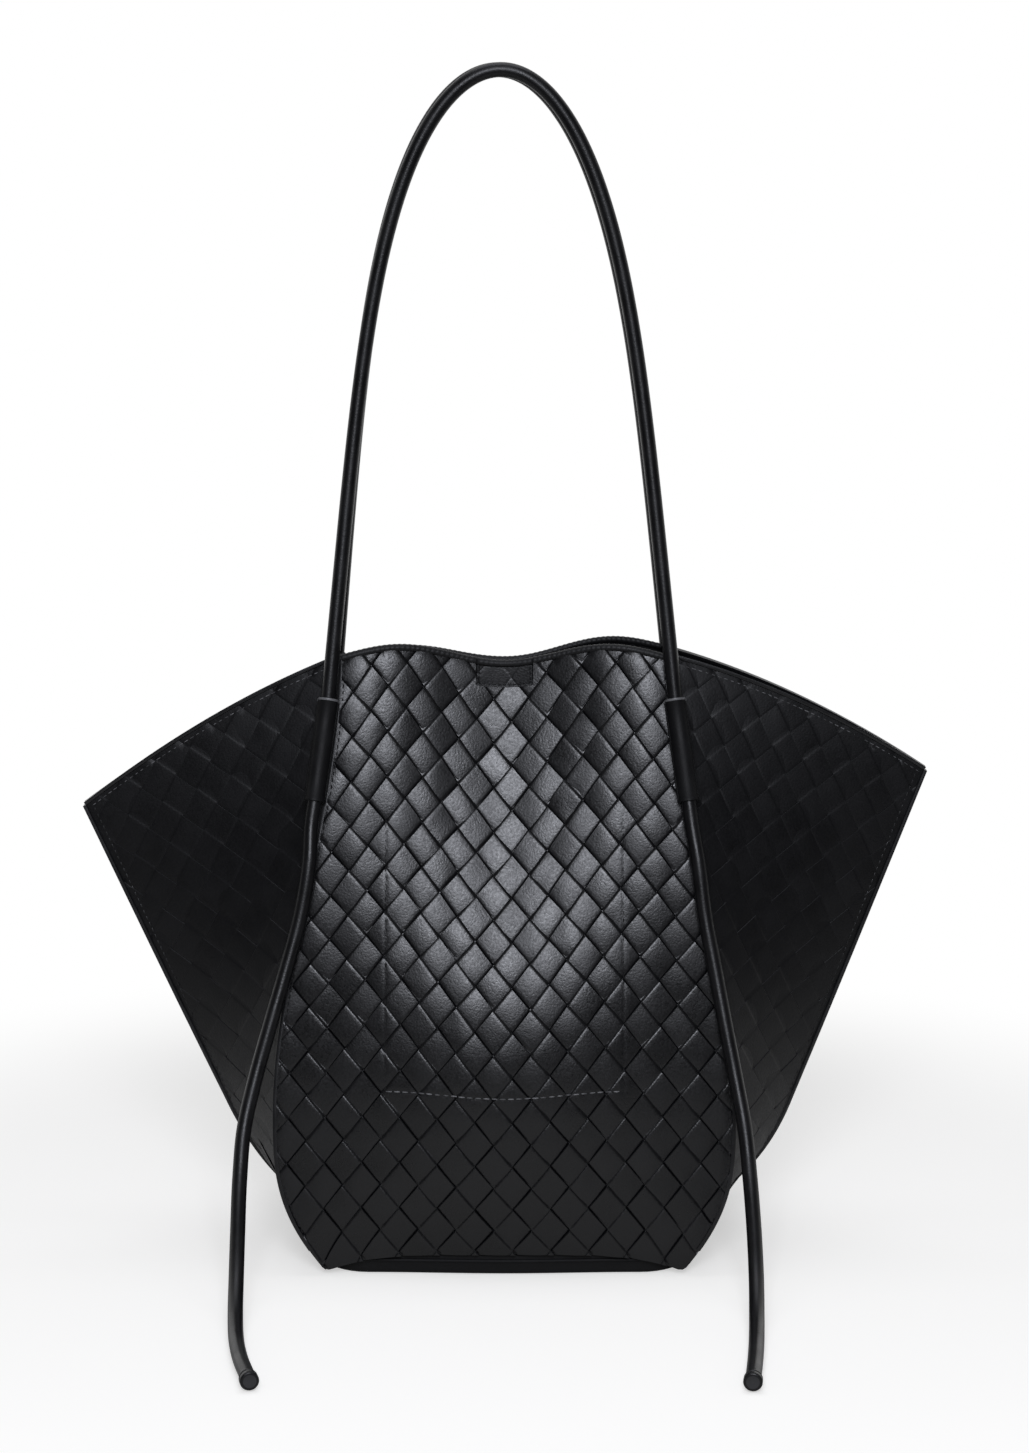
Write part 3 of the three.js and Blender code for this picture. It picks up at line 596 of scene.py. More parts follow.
def sewn_flat(surface, i, j):
    """Share of its full height that the plait keeps: the stitching presses it flat along the sides and the top."""
    width = np.linalg.norm(surface(1 + 0 * i, j) - surface(0 * i, j), axis=-1)
    length = np.linalg.norm(surface(i, 1 + 0 * j) - surface(i, 0 * j), axis=-1)
    away = np.minimum(np.minimum(i, 1 - i) * width, (1 - j) * length)
    return mix(SEWN_FLAT, 1, ease(away / SEWN_WIDE))


def find_place(plait, p, q):
    """Where on the surface's unit square a place in the plait lies: a straight fit, then steps down its slopes."""
    i, j = np.meshgrid(np.linspace(0, 1, 25), np.linspace(0, 1, 25))
    known = np.stack([*plait(i, j), np.ones_like(i)], -1).reshape(-1, 3)
    fit = np.linalg.lstsq(known, np.stack([i, j], -1).reshape(-1, 2), rcond=None)[0]
    i, j = np.moveaxis(np.stack([p, q, np.ones_like(p)], -1) @ fit, -1, 0)
    step, low, high = 1e-4, -0.3, 1.3
    for _ in range(14):
        i, j = np.clip(i, low, high), np.clip(j, low, high)
        (p0, q0), (p1, q1), (p2, q2) = plait(i, j), plait(i + step, j), plait(i, j + step)
        a, b, c, d = (p1 - p0) / step, (p2 - p0) / step, (q1 - q0) / step, (q2 - q0) / step
        det = a * d - b * c
        det = np.where(np.abs(det) < 1e-6, 1e-6, det)
        i = i + np.clip((d * (p - p0) - b * (q - q0)) / det, -0.2, 0.2)
        j = j + np.clip((a * (q - q0) - c * (p - p0)) / det, -0.2, 0.2)
    return np.clip(i, low, high), np.clip(j, low, high)


def cut(work, corner, normal, **how):
    """Cuts all of a mesh along a plane."""
    everything = [*work.verts, *work.edges, *work.faces]
    return bmesh.ops.bisect_plane(work, geom=everything, dist=1e-7, plane_co=corner, plane_no=normal, **how)


def plaited(name, surface, plait, sign, seed, press=None, crease=None, relief=1, finish=PLAIT):
    """Two families of strips, over and under each other, cut off at the edges of the surface's unit square.

    The strips are laid out by width, height and rise over the square, and then carried onto the surface. The
    mark on each point says how far along and across its strip it lies, and the tone of its crossing.
    """
    chance = np.random.default_rng(seed)
    i, j = np.meshgrid(np.linspace(0, 1, 41), np.linspace(0, 1, 41))
    spread = plait(i, j)
    points, faces, marks, start = [], [], [], 0
    share, rise = np.array(STRIP_SECTION).T
    count = len(share)
    for family in (0, 1):
        run, cross = spread[family], spread[1 - family]
        strips = np.arange(math.floor(cross.min()), math.ceil(cross.max()) + 1)
        first, last = math.floor(run.min()) - 1, math.ceil(run.max()) + 1
        along = (np.arange(first, last + 1)[:, None] + np.array(STRIP_STEPS)).ravel()
        cell = np.round(along).astype(int) - first
        swell = np.cos(np.pi * (along - np.round(along))) ** 2
        crossings = (len(strips), last - first + 1)
        lift = chance.normal(0, STRIP_UNEVEN, crossings)[:, cell] * swell
        tilt = chance.normal(0, STRIP_TILT, crossings)[:, cell] * swell
        tone = 0.5 + (chance.random(crossings)[:, cell] - 0.5) * swell**0.5
        wander = chance.normal(0, STRIP_WANDER, (len(strips), 1))
        level = (strip_rise(family, along + strips[:, None]) + lift) * relief
        across = strips[:, None] + wander
        grid = np.broadcast_to(along[None, :, None], (len(strips), len(along), count))
        grid_across = across[:, :, None] + STRIP_HALF * share + 0 * grid
        p, q = (grid, grid_across) if family == 0 else (grid_across, grid)
        i, j = find_place(plait, p, q)
        reach = share * STRIP_HALF * STRIP_PITCH
        height = STRIP_CENTRE + level[..., None] + rise + tilt[..., None] * reach
        within = ((i > -0.02) & (i < 1.02) & (j > -0.02) & (j < 1.02)).any(-1)
        for k in range(len(strips)):
            found = np.flatnonzero(within[k])
            if len(found) < 2:
                continue
            a, b = max(0, found[0] - 1), min(len(along), found[-1] + 2)
            rings = b - a
            points.append(np.stack([i[k, a:b], j[k, a:b], height[k, a:b]], -1).reshape(-1, 3))
            mark = np.broadcast_arrays(along[a:b, None] * STRIP_PITCH, reach, tone[k, a:b, None])
            marks.append(np.stack(mark, -1).reshape(-1, 3))
            ring = start + count * np.arange(rings - 1)[:, None] + np.arange(count)
            turn = start + count * np.arange(rings - 1)[:, None] + (np.arange(count) + 1) % count
            faces += np.stack([ring, turn, turn + count, ring + count], -1).reshape(-1, 4).tolist()
            end = start + rings * count
            faces += [list(range(start, start + count))[::-1], list(range(end - count, end))]
            start = end
    # A thin backing, pale as a cut edge, shuts the small gaps at the crossings
    i, j = np.meshgrid(np.linspace(0.002, 0.998, 25), np.linspace(0.002, 0.998, 33))
    top = STRIP_CENTRE - (STRIP_LIFT[0] + STRIP_LEAN[0] * 2 / 3) * relief - 0.1
    for level in (top, top - BACKING):
        points.append(np.stack([i, j, np.full_like(i, level)], -1).reshape(-1, 3))
        marks.append(np.tile([0, CUT_EDGE_TO, 0.5], (i.size, 1)))
    faces += [[start + v for v in face] for face in sheet_faces(*i.shape)]
    flat = bpy.data.meshes.new(name)
    flat.from_pydata(np.concatenate(points).tolist(), [], faces)
    flat.attributes.new("strip", "FLOAT_VECTOR", "POINT").data.foreach_set("vector", np.concatenate(marks).ravel())
    work = bmesh.new()
    work.from_mesh(flat)
    for corner, normal in (((0, 0, 0), (-1, 0, 0)), ((1, 0, 0), (1, 0, 0)),
                           ((0, 0, 0), (0, -1, 0)), ((0, 1, 0), (0, 1, 0))):
        found = cut(work, corner, normal, clear_outer=True)["geom_cut"]
        bmesh.ops.holes_fill(work, edges=[e for e in found if isinstance(e, bmesh.types.BMEdge)], sides=0)
    if crease:
        crease(work)
    place = np.array([v.co for v in work.verts])
    i, j = place[:, 0], place[:, 1]
    at, normal = surface(i, j), outward_normal(surface, i, j, sign)
    flat_share, sunk = press(i, j) if press else (1, 0)
    height = place[:, 2] * sewn_flat(surface, i, j) * flat_share - sunk
    at = (at + normal * height[:, None]) * MM
    for vertex, co in zip(work.verts, at.tolist()):
        vertex.co = co
    bmesh.ops.recalc_face_normals(work, faces=work.faces)
    work.to_mesh(flat)
    work.free()
    return shown(name, flat, finish, 32)


# Panels: the plait's rows follow the length of leather up the middle of the panel
def panel_surface(face):
    """The panel with its foot, which arches over the tray and comes down to the floor at its corners."""
    def surface(i, j):
        at = panel_point(2 * i - 1, j, face)
        across, low = np.abs(2 * i - 1), np.clip(1 - j, 0, 1.2)
        blunt = FOOT_BLUNT * np.clip((across - 0.93) / 0.07, 0, 1) ** 2.5
        at[..., 2] += (blunt - FOOT_DROP * across**FOOT_ARCH) * low**FOOT_FADE
        return at
    return surface


climb = np.linspace(-0.4, 1.4, 721)
outwards = outward_normal(panel_surface(-1), np.full_like(climb, 0.5), climb, 1)
climbed = distance_along(panel_point(0.0, climb, -1) + SHEET / 2 * outwards)
climbed -= np.interp(0, climb, climbed)


def panel_plait(side):
    """The two counts of crossings at a place on a panel's unit square."""
    left, up = PLAIT_START[side]

    def plait(i, j):
        height = mix(PANEL_FOOT, PANEL_TOP, j)
        x = (2 * i - 1) * panel_half(height)
        a = (x + left) / (PLAIT_WIDE - PLAIT_NARROWS * height)
        b = (np.interp(j, climb, climbed) - up) / PLAIT_HIGH - 0.5
        return a + b, b - a
    return plait


def wing_surface(hand, face):
    return lambda i, j: wing_point(i, j, hand, face)


def wing_plait(hand, face, slide):
    """The two counts of crossings at a place on a wing half's unit square."""
    rows = np.array(WING_PLAIT[hand])

    def plait(i, j):
        at = wing_point(i, j, hand, face)
        a, b = (at[..., 0] * k[0] + at[..., 2] * k[1] + k[2] + slide for k in rows)
        return a + b, b - a
    return plait


def on_plait(surface, plait, sign, i, j, press=None, relief=1):
    """Points on top of the strips, and the outward direction there."""
    at, normal = surface(i, j), outward_normal(surface, i, j, sign)
    flat_share, sunk = press(i, j) if press else (1, 0)
    height = plait_top(*plait(i, j), relief) * sewn_flat(surface, i, j) * flat_share - sunk
    return at + normal * height[:, None], normal


# The magnet holds a rectangle of the front upright under the top edge, and the pocket's seams draw the plait in
PATCH_BORDER, PATCH_FLAT, PATCH_SUNK = 0.9, 0.85, 0.7
SEAM_HALF, SEAM_END, SEAM_FLAT, SEAM_SUNK = 1.0, 1.5, 0.1, 0.06


def front_press(i, j):
    """Share of its height that the plait keeps there, and how far it is drawn in."""
    x = (2 * i - 1) * panel_half(mix(PANEL_FOOT, PANEL_TOP, j))
    between, above = PATCH_WIDTH / 2 - np.abs(x), (j - PATCH_LOW) * FULL_HEIGHT
    inside = ease(between / PATCH_BORDER + 0.5) * ease(above / PATCH_BORDER + 0.5)
    deep = PATCH_SUNK + PINCH_LEAN * 0.8 * np.clip(1 - j, 0, None) * FULL_HEIGHT
    up, out = (j - POCKET_LOW) * FULL_HEIGHT, np.abs(x) - POCKET_HALF
    on_side = ease((up + SEAM_END) / SEAM_END) * ease((POCKET_DEEP + SEAM_END - up) / SEAM_END)
    on_foot = ease((SEAM_END - out) / SEAM_END)
    groove = np.maximum(np.clip(1 - np.abs(out) / SEAM_HALF, 0, 1) * on_side,
                        np.clip(1 - np.abs(up) / SEAM_HALF, 0, 1) * on_foot)
    return (1 - PATCH_FLAT * inside) * (1 - SEAM_FLAT * groove), deep * inside + SEAM_SUNK * groove


def crease_front(work):
    """Cuts along the borders of the magnet's rectangle and along the pocket's seams, so that these stay crisp."""
    half = lambda v: float(panel_half(mix(PANEL_FOOT, PANEL_TOP, v.co.y)))
    for v in work.verts:
        v.co.x = (2 * v.co.x - 1) * half(v)
    border = PATCH_BORDER / 2
    for x in (PATCH_WIDTH / 2 - border, PATCH_WIDTH / 2 + border,
              POCKET_HALF - SEAM_HALF, POCKET_HALF, POCKET_HALF + SEAM_HALF):
        for hand in (-1, 1):
            cut(work, (hand * x, 0, 0), (1, 0, 0))
    for level, away in ((PATCH_LOW, -border), (PATCH_LOW, border),
                        (POCKET_LOW, -SEAM_HALF), (POCKET_LOW, 0), (POCKET_LOW, SEAM_HALF)):
        cut(work, (0, level + away / FULL_HEIGHT, 0), (0, 1, 0))
    for v in work.verts:
        v.co.x = (v.co.x / half(v) + 1) / 2


# Cords: the loose tails, which run down out of their sleeves and lie out on the floor, each with its cap
def strap_section(sides, lip, ramp=0.5):
    """A rolled strip: round, with its lapped edge as a low step along one side."""
    angle = np.linspace(0, 2 * np.pi, sides, endpoint=False)
    step = np.where((angle > np.pi) & (angle < np.pi + ramp), lip * (angle - np.pi) / ramp, 0)
    r = STRAP_R + step - 0.15 * lip
    return np.stack([r * np.sin(angle), r * np.cos(angle)], -1)


for name in TAIL_ROUTES:
    side = name.split("_")[0]
    line = tail_line(name)
    along, across, out = directions(line, (0, FACES[side], 0.3))
    tail = piece(f"{name}_tail_strap", *swept(line, across, out, strap_section(20, 0.35)), STRAP)
    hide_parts(f"{name}_tail")
    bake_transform(tail)
    end = np.array([line[-1] + along[-1] * (GAP + s) for s, _ in CAP_FORM])
    turned = np.array([round_section(r, 24) for _, r in CAP_FORM])
    across_cap, out_cap = np.tile(across[-1], (len(end), 1)), np.tile(out[-1], (len(end), 1))
    cap = piece(f"{name}_tail_end", *swept(end, across_cap, out_cap, turned), STRAP, 50)
    cap.data.materials.append(RAW)
    cap.data.polygons[-1].material_index = 1
    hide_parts(f"{name}_tail_cap")
    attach(cap, "root")
    length = float(distance_along(line)[-1]) * MM

# Handles: a strip rolled round a cord and sewn along the side that faces the other handle
for side, face in FACES.items():
    line = handle_line(side)
    along, across, out = directions(line, (0, face, 0))
    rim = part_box(f"{side}_handle")[0].z / MM
    strap = piece(f"{side}_handle_strap", *swept(line, across, out, strap_section(22, 0.4)), STRAP)
    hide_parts(f"{side}_handle")
    cord = round_section(STRAP_R - STRAP_SKIN - GAP, 12)
    core = piece(f"{side}_handle_cord", *swept(line, across, out, cord), CORD)
    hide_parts(f"{side}_handle_core")
    seam_angle = np.pi + 0.75
    seam_out = across * np.sin(seam_angle) + out * np.cos(seam_angle)
    row = stitched(line + seam_out * (STRAP_R - 0.05), seam_out, pitch=3.8, long=2.6, radius=0.34)
    seam = piece(f"{side}_handle_stitches", *row, THREAD)
    for made in (strap, core, seam):
        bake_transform(made)


# Panels, wings and sleeves
def bead(name, line, normal, flip, half=SHEET / 2, over=0.35, inside=1.5):
    """A painted cut edge: a rounded rim that caps the strips along an edge of a panel."""
    outwards = np.cross(normal, unit(np.gradient(line, axis=0))) * flip
    arch = [(-half * 0.72, over * 0.75), (0, over), (half * 0.72, over * 0.75)]
    loop = [(-half, -inside), (-half, -0.1), *arch, (half, -0.1), (half, -inside)]
    return piece(name, *swept(line, normal, outwards, loop), EDGE, 60)


for side, face in FACES.items():
    surface, plait, sign = panel_surface(face), panel_plait(side), -face
    press, crease = (front_press, crease_front) if side == "front" else (None, None)
    panel = plaited(f"{side}_panel_plait", surface, plait, sign, PLAIT_SEED[side], press, crease)
    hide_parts(f"{side}_panel")
    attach(panel, side)

    # Top edge: a folded binding with close slanting ridges where it is oversewn
    i = np.linspace(0, 1, 300)
    top = np.ones_like(i)
    normal = outward_normal(surface, i, top - 2e-3, sign)
    rim = even_line(surface(i, top), BINDING_SPACING)
    normal = unit(np.stack([np.interp(rim[:, 0], surface(i, top)[:, 0], normal[:, k]) for k in range(3)], -1))
    upward = unit(np.cross(unit(np.gradient(rim, axis=0)), normal) * sign * face)
    upward *= np.sign(upward[:, 2:3])
    if press:
        along_top = (rim[:, 0] / PANEL_TOP_HALF + 1) / 2
        rim = rim - normal * press(along_top, np.ones_like(along_top))[1][:, None]
    angle = np.linspace(0, 2 * np.pi, 12, endpoint=False)
    length = np.arange(len(rim)) * BINDING_SPACING
    ridge = BINDING_RIDGE * np.cos(2 * np.pi * length[:, None] / BINDING_PITCH + angle)
    thick, tall = BINDING_THICK + ridge, BINDING_TALL + ridge
    section = np.stack([thick * np.sin(angle), tall * np.cos(angle) - BINDING_LAP], -1)
    binding = piece(f"{side}_top_binding", *swept(rim, normal, upward, section), BAND, 70)
    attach(binding, side)

    # Side edges, with a row of stitches through panel and gusset
    for hand, edge in (("left", 0.0), ("right", 1.0)):
        j = np.linspace(0, 1, 160)
        seam = surface(np.full_like(j, edge), j)
        normal = outward_normal(surface, np.full_like(j, abs(edge - 2e-3)), j, sign)
        flip = 1 if (hand == "left") == (face < 0) else -1
        clear = slice(3, None)  # clear of the floor at the foot
        rim = bead(f"{side}_{hand}_seam_edge", seam[clear], normal[clear], flip)
        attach(rim, side)
        inset = abs(edge - SEAM_INSET / (2 * panel_half(mix(PANEL_FOOT, PANEL_TOP, j))))
        row, outwards = on_plait(surface, plait, sign, inset, mix(0.04, 1, j), press)
        row = piece(f"{side}_{hand}_seam_stitches", *stitched(row, outwards), THREAD)
        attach(row, side)

    # Wings: each half bends between the panel that it is sewn to and the base
    for hand in ("left", "right"):
        half, turn = wing_surface(hand, face), (1 if hand == "right" else -1) * -face
        lay = wing_plait(hand, face, WING_SLIDE[side])
        name = f"{side}_{hand}_wing"
        seed = WING_SEED + len(hand) + face
        made = [plaited(f"{name}_plait", half, lay, turn, seed, relief=WING_RELIEF, finish=GUSSET)]
        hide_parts(name)
        i = np.linspace(0, 1, 140)
        one = np.ones_like(i)
        flip = -1 if turn > 0 else 1
        made.append(bead(f"{name}_top_edge", half(i, one), outward_normal(half, i, one, turn), flip))
        made.append(bead(f"{name}_outer_edge", half(one, i), outward_normal(half, one, i, turn), -flip))
        inset = one - WING_TOP_INSET / (WING_TIP_HEIGHT[hand] - WING_FOOT)
        row, outwards = on_plait(half, lay, turn, mix(0.03, 0.985, i), inset, relief=WING_RELIEF)
        # Sewn in the pale thread, whose colour is a painted glint
        made.append(piece(f"{name}_top_stitches", *stitched(row, outwards, radius=0.2), PALE_THREAD_PAINTED_GLINT))
        width = np.linalg.norm(half(one, i) - half(0 * one, i), axis=-1)
        inset = 1 - np.minimum(WING_OUTER_INSET / width, 0.5)
        row, outwards = on_plait(half, lay, turn, inset, mix(0.06, 0.985, i), relief=WING_RELIEF)
        made.append(piece(f"{name}_outer_stitches", *stitched(row, outwards), THREAD))
        for m in made:
            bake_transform(m)

    # Sleeves: a leather tube with a sewn flange, its two ends turned in
    for hand in ("left", "right"):
        rim, up, outward = sleeve_axis(hand, face)
        outer_r = SLEEVE_BORE + SLEEVE_WALL
        shoulder = math.asin(-SLEEVE_BORE / outer_r)
        arc = np.linspace(shoulder, np.pi - shoulder, 25)
        wide = SLEEVE_FLANGE_HALF
        flange = [(x, -outer_r) for x in (-wide, -wide / 2, 0, wide / 2, wide)]
        loop = [*flange, (wide + 0.15, 0.4 - outer_r), (wide - 0.2, -SLEEVE_BORE)]
        loop += [(outer_r * math.cos(a), outer_r * math.sin(a)) for a in arc]
        loop = np.array([*loop, (0.2 - wide, -SLEEVE_BORE), (-wide - 0.15, 0.4 - outer_r)])
        bore = unit(loop) * SLEEVE_BORE
        place = np.array([rim - up * (SLEEVE_LENGTH - s) for s, _ in SLEEVE_FORM])
        swell = np.array([loop + unit(loop) * grow * (loop[:, 1:] > -SLEEVE_BORE) for _, grow in SLEEVE_FORM])
        sideways = np.cross(outward, up)
        wall = place[:, None] + sideways * swell[..., :1] + outward * swell[..., 1:]
        hole = place[:, None] + sideways * bore[:, :1] + outward * bore[:, 1:]
        count, rings = len(loop), len(SLEEVE_FORM)
        points = np.concatenate([wall.reshape(-1, 3), hole.reshape(-1, 3)])
        faces, shift = [], count * rings
        for r in range(rings - 1):
            for k in range(count):
                a, b, n = r * count + k, r * count + (k + 1) % count, count
                faces += [(a, b, b + n, a + n), (shift + a, shift + a + n, shift + b + n, shift + b)]
        for k in range(count):
            n, top = (k + 1) % count, (rings - 1) * count
            faces += [(k, shift + k, shift + n, n), (top + k, top + n, shift + top + n, shift + top + k)]
        sleeve = piece(f"{side}_{hand}_strap_sleeve", points, faces, SLEEVE, 45)
        sleeve.data.materials.append(RAW)
        sleeve.data.materials.append(SLEEVE_RIM_PAINTED_HIGHLIGHT)
        polygons, band = list(sleeve.data.polygons), 2 * count
        for polygon in polygons[-band:]:
            polygon.material_index = 1
        # The top two bands of the wall take the light grey of the rim: a painted highlight
        for polygon in polygons[SLEEVE_PAINTED_HIGHLIGHT_BANDS[0] * band : SLEEVE_PAINTED_HIGHLIGHT_BANDS[1] * band : 2]:
            polygon.material_index = 2
        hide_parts(f"{side}_{hand}_sleeve")
        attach(sleeve, side)

    # Magnet in its patch of leather behind the top edge
    across, up = np.meshgrid(np.linspace(-1, 1, 27), np.linspace(-1, 1, 13))
    plump = (1 - np.abs(across) ** 6) * (1 - np.abs(up) ** 4)
    inner = face * (GAP / 2 + 0.5 - 0.4 * plump)
    lean = 0 if side == "front" else PINCH_LEAN
    outer = face * (GAP / 2 + PATCH_DEPTH + (1 - up) * PATCH_HEIGHT / 2 * lean)
    layers = [np.stack([across * PATCH_WIDTH / 2, d, PATCH_AT + up * PATCH_HEIGHT / 2], -1) for d in (inner, outer)]
    patch = closed_sheet(f"{side}_closure_patch", *layers, BAND)
    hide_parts(f"{side}_magnet_patch")
    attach(patch, side)
    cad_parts[f"{side}_magnet"].data.materials.clear()
    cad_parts[f"{side}_magnet"].data.materials.append(NICKEL)

# Seams that show on the front: round the magnet and round the pocket inside
surface, plait = panel_surface(-1), panel_plait("front")


def front_row(name, corners, thread=THREAD, **sizes):
    """Stitches on the front along a line through corners given by width in millimetres and share of the height."""
    line = even_line(np.array([(x, j * FULL_HEIGHT, 0) for x, j in corners], float), 0.7)
    j = line[:, 1] / FULL_HEIGHT
    i = (line[:, 0] / panel_half(mix(PANEL_FOOT, PANEL_TOP, j)) + 1) / 2
    row, outwards = on_plait(surface, plait, 1, i, j, front_press)
    made = piece(name, *stitched(row, outwards, **sizes), thread)
    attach(made, "front")


PATCH_MARGIN = 1.3
half, low = PATCH_WIDTH / 2 - PATCH_MARGIN, PATCH_LOW + PATCH_MARGIN / FULL_HEIGHT
mouth = POCKET_LOW + POCKET_DEEP / FULL_HEIGHT
front_row("closure_stitches", [(-half, 0.99), (-half, low), (half, low), (half, 0.99)],
          pitch=2.4, long=1.9, radius=0.4)
for hand, x in (("left", -POCKET_HALF), ("right", POCKET_HALF)):
    front_row(f"pocket_{hand}_stitches", [(x, mouth), (x, POCKET_LOW)], pitch=3.4, long=2.5, radius=0.3, sunk=0.25)
# The pocket's foot row is sewn in the pale thread, whose colour is a painted glint
front_row("pocket_foot_stitches", [(-POCKET_HALF, POCKET_LOW), (POCKET_HALF, POCKET_LOW)], PALE_THREAD_PAINTED_GLINT, pitch=3.8, long=3,
          radius=0.34, sunk=-0.2)


# Slip pocket: a cotton sheet with a turned hem at its mouth and soft ripples
HEM_DEEP, HEM_THICK, RIPPLE = 11, 0.5, 0.25


def pocket_sheet(across, up, lift):
    """Points behind the front panel, lifted off it by that much."""
    height = mix(POCKET_FOOT, POCKET_MOUTH, up)
    j = (height - PANEL_FOOT) / (PANEL_TOP - PANEL_FOOT)
    i = (mix(-POCKET_HALF, POCKET_HALF, across) / panel_half(height) + 1) / 2
    return surface(i, j) - outward_normal(surface, i, j, 1) * (SHEET / 2 + POCKET_EASE + lift)[..., None]


across, up = np.meshgrid(np.linspace(0, 1, 45), np.linspace(0, 1, 49))
hem = HEM_THICK * ease((up * POCKET_DEEP - POCKET_DEEP + HEM_DEEP) / 1.5)
ripple = RIPPLE * np.sin(across * 19) * ease(up * 1.4) * (1 - (2 * across - 1) ** 4)
near = pocket_sheet(across, up, 0 * up)
far = pocket_sheet(across, up, POCKET_SHEET + hem + ripple + RIPPLE)
pocket = closed_sheet("pocket_cloth", near, far, LINING)
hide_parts("slip_pocket")
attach(pocket, "front")


# Base: a leather tray with a piped rim, and the cloth-covered board in it
def base_outline(inset):
    """Outline of the base tray: rounded corners, with its long sides bowed out."""
    corner = BASE_CORNER - inset
    reach, front = BASE_HALF_WIDTH - BASE_CORNER, BASE_HALF_DEPTH - TRAY_INSET
    depth = front - BASE_CORNER
    arc = np.linspace(0, np.pi / 2, 9)
    x = np.linspace(reach, -reach, 62)[1:-1]
    bowed = front - inset + BASE_BOW * crown(x / reach)
    right = np.stack([reach + corner * np.cos(arc), depth + corner * np.sin(arc)], -1)
    left = np.stack([-reach - corner * np.sin(arc), depth + corner * np.cos(arc)], -1)
    half = np.concatenate([right, np.stack([x, bowed], -1), left])
    return np.concatenate([half, -half])


def stacked(name, levels, finish, sharp=40):
    """A closed form from outlines of the base, one for each (inset, height)."""
    loops = [np.column_stack([base_outline(inset), np.full(len(base_outline(inset)), z)]) for inset, z in levels]
    count = len(loops[0])
    faces = [tuple(range(count))[::-1]]
    for r in range(len(loops) - 1):
        a, b = r * count, (r + 1) * count
        faces += [(a + k, a + (k + 1) % count, b + (k + 1) % count, b + k) for k in range(count)]
    faces.append(tuple(range((len(loops) - 1) * count, len(loops) * count)))
    return piece(name, np.concatenate(loops), faces, finish, sharp)


PIPING_R = 0.8
quarter = np.linspace(0, math.pi / 2, 6)
foot = [(BASE_ROUND * (1 - math.sin(a)) + PIPING_R, BASE_ROUND * (1 - math.cos(a))) for a in quarter]
welt = RIM_HEIGHT - 3.4
piping = [(0.9 - PIPING_R * math.cos(a), welt + PIPING_R * math.sin(a)) for a in np.linspace(-1.2, 1.2, 8)]
rim = [(1.1, RIM_HEIGHT - 0.7), (1.7, RIM_HEIGHT - 0.1),
       (RIM_WALL - 0.4, RIM_HEIGHT - 0.1), (RIM_WALL, RIM_HEIGHT - 0.6)]
tray = stacked("base_tray", [*foot, (PIPING_R, welt - 1.2), *piping, (1.0, welt + 1), *rim, (RIM_WALL, SHEET)], BASE)
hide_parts("base_panel")
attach(tray, "root")
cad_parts["base_board"].data.materials.clear()
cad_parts["base_board"].data.materials.append(GREYBOARD)
low, inset = SHEET + 2 * GAP + BOARD, RIM_WALL + GAP
hem = [(inset + 0.3, low), (inset, low + 0.3), (inset, low + 0.6), (inset + 0.4, low + COVER)]
cover = stacked("base_cover_cloth", [*hem, (RIM_WALL + 6, low + COVER + 0.1)], LINING)
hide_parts("base_cover")
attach(cover, "root")


# Floor and light
FLOOR_R, FLOOR_BACK, FLOOR_LOW, FLOOR_SIDES = 700, 150, -0.4, 96
FADE_FROM, FADE_TO, PAPER_LIFT = 0.28, 0.54, 0.53


def white_paper_sweep():
    # Matt white paper: the camera sees the bag's soft shadow on it, and away from the bag it fades to plain white.
    material, tree, shader, place = new_finish("white_paper_sweep")
    camera_ray = add(tree, "ShaderNodeLightPath").outputs["Is Camera Ray"]
    away = add(tree, "ShaderNodeVectorMath", {0: place}, operation="LENGTH")
    fade = add(tree, "ShaderNodeMapRange", {"Value": away.outputs["Value"], 1: FADE_FROM, 2: FADE_TO},
               interpolation_type="SMOOTHSTEP")
    seen = add(tree, "ShaderNodeMath", {0: fade.outputs[0], 1: camera_ray}, operation="MULTIPLY")
    lifted = add(tree, "ShaderNodeMath", {0: camera_ray, 1: PAPER_LIFT}, operation="MULTIPLY")
    glow = add(tree, "ShaderNodeEmission", {"Strength": lifted.outputs[0]})
    fill(tree, shader, {"Base Color": colour("#e3e1db"), "Roughness": 0.95, "Specular IOR Level": 0.0})
    paper = add(tree, "ShaderNodeAddShader", {0: shader.outputs[0], 1: glow.outputs[0]})
    white = add(tree, "ShaderNodeEmission", {"Strength": 1.0})
    blend = add(tree, "ShaderNodeMixShader", {0: seen.outputs[0], 1: paper.outputs[0], 2: white.outputs[0]})
    fill(tree, tree.nodes["Material Output"], {"Surface": blend.outputs[0]})
    return material


angle = np.linspace(0, 2 * np.pi, FLOOR_SIDES, endpoint=False)
disc = [FLOOR_R * np.cos(angle), FLOOR_R * np.sin(angle) + FLOOR_BACK, np.full(FLOOR_SIDES, FLOOR_LOW)]
floor = piece("floor", np.stack(disc, -1), [tuple(range(FLOOR_SIDES))], white_paper_sweep())

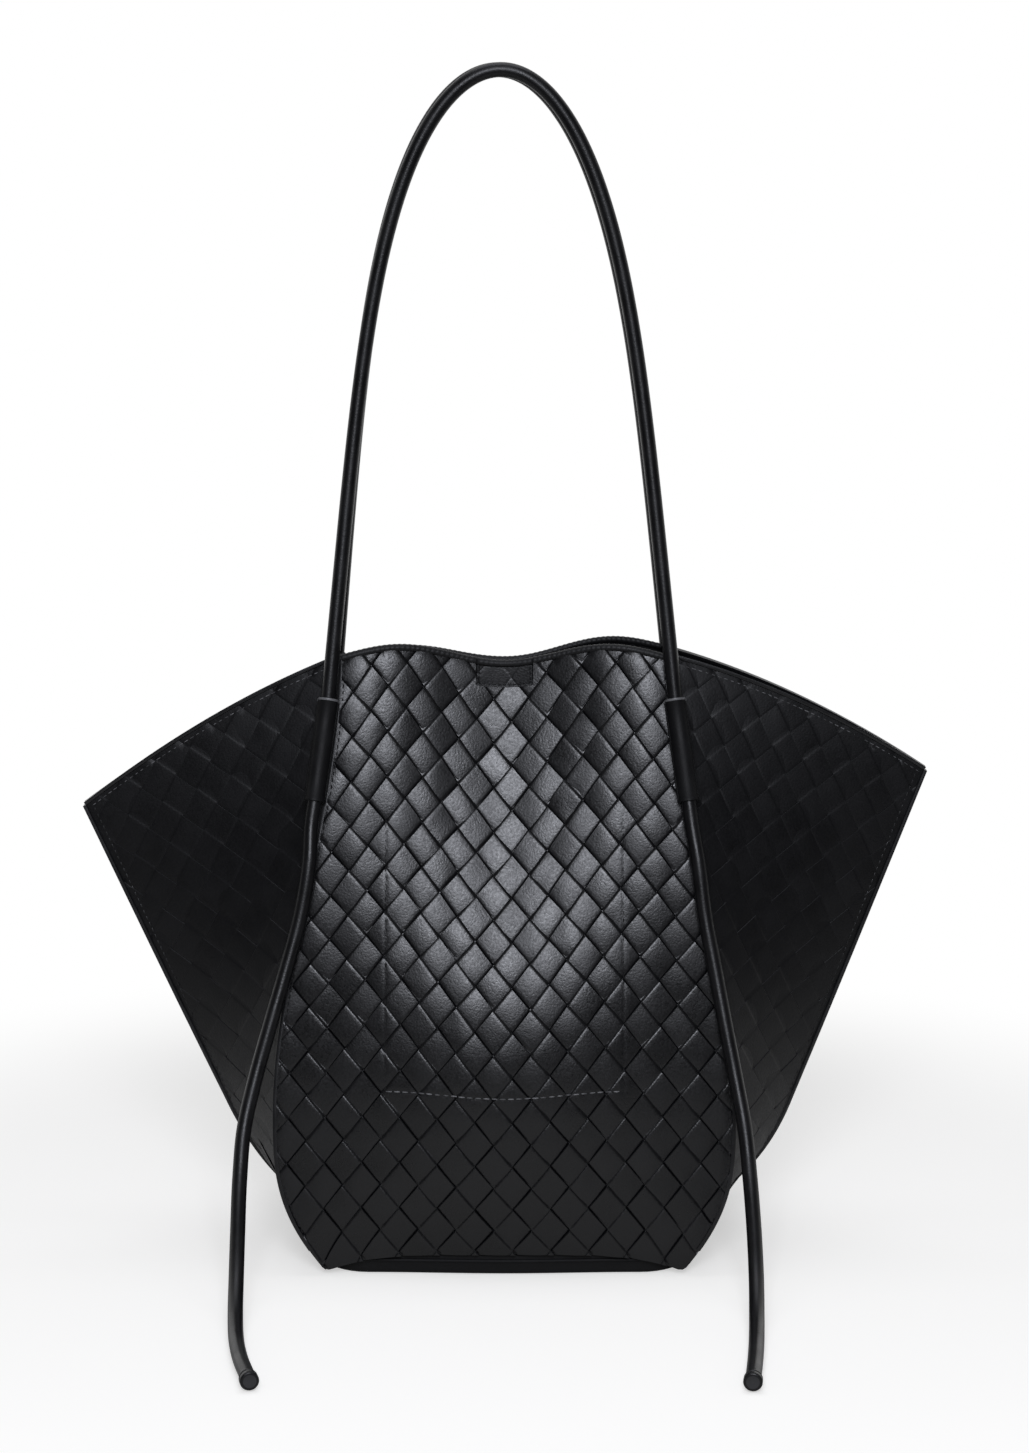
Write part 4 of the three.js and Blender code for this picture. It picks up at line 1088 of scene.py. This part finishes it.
# Room: plain white to the camera. Reflections see it white behind the bag and dark in front, and it fills the
# shadows a little.
ROOM_DARK, ROOM_FILL = 0.06, 0.12
world = bpy.data.worlds.new("studio")
bpy.context.scene.world = world
world.use_nodes = True
tree = world.node_tree
ray = add(tree, "ShaderNodeLightPath").outputs
direct = add(tree, "ShaderNodeMath", {0: ray["Is Camera Ray"], 1: ray["Is Transmission Ray"]}, operation="MAXIMUM")
facing = add(tree, "ShaderNodeSeparateXYZ", {"Vector": add(tree, "ShaderNodeTexCoord").outputs["Generated"]})
behind = add(tree, "ShaderNodeMapRange", {"Value": facing.outputs["Y"], 1: -0.2, 2: 0.8, 3: ROOM_DARK},
             interpolation_type="SMOOTHSTEP")
mirrored = add(tree, "ShaderNodeMath", {0: ray["Is Glossy Ray"], 1: behind.outputs[0]}, operation="MULTIPLY")
plain = add(tree, "ShaderNodeMath", {0: ray["Is Diffuse Ray"], 1: ROOM_FILL}, operation="MULTIPLY")
soft = add(tree, "ShaderNodeMath", {0: mirrored.outputs[0], 1: plain.outputs[0]}, operation="MAXIMUM")
strength = add(tree, "ShaderNodeMath", {0: direct.outputs[0], 1: soft.outputs[0]}, operation="MAXIMUM")
fill(tree, tree.nodes["Background"], {"Color": (1, 1, 1, 1), "Strength": strength.outputs[0]})

LAMP_COLOUR = (0.89, 0.915, 1)


def softbox(name, place, target, width, height, watts):
    """A soft rectangular lamp that the camera does not see."""
    lamp = bpy.data.lights.new(name, "AREA")
    lamp.shape, lamp.size, lamp.size_y, lamp.energy = "RECTANGLE", width, height, watts
    lamp.color = LAMP_COLOUR
    obj = bpy.data.objects.new(name, lamp)
    obj.location = place
    obj.rotation_euler = (Vector(target) - Vector(place)).to_track_quat("-Z", "Y").to_euler()
    obj.visible_camera = False
    bpy.context.scene.collection.objects.link(obj)


# A broad dim light and a small bright one in front and above, and one overhead
softbox("key_softbox", (-0.05, -1.89, 1.62), (0, 0, 0.2), 1.3, 2.1, 7)
softbox("key_centre", (0, -1.85, 1.1), (0, 0, 0.25), 0.6, 0.62, 19)
softbox("overhead_softbox", (0, 0.1, 1.8), (0, 0, 0.1), 1.2, 0.8, 6)
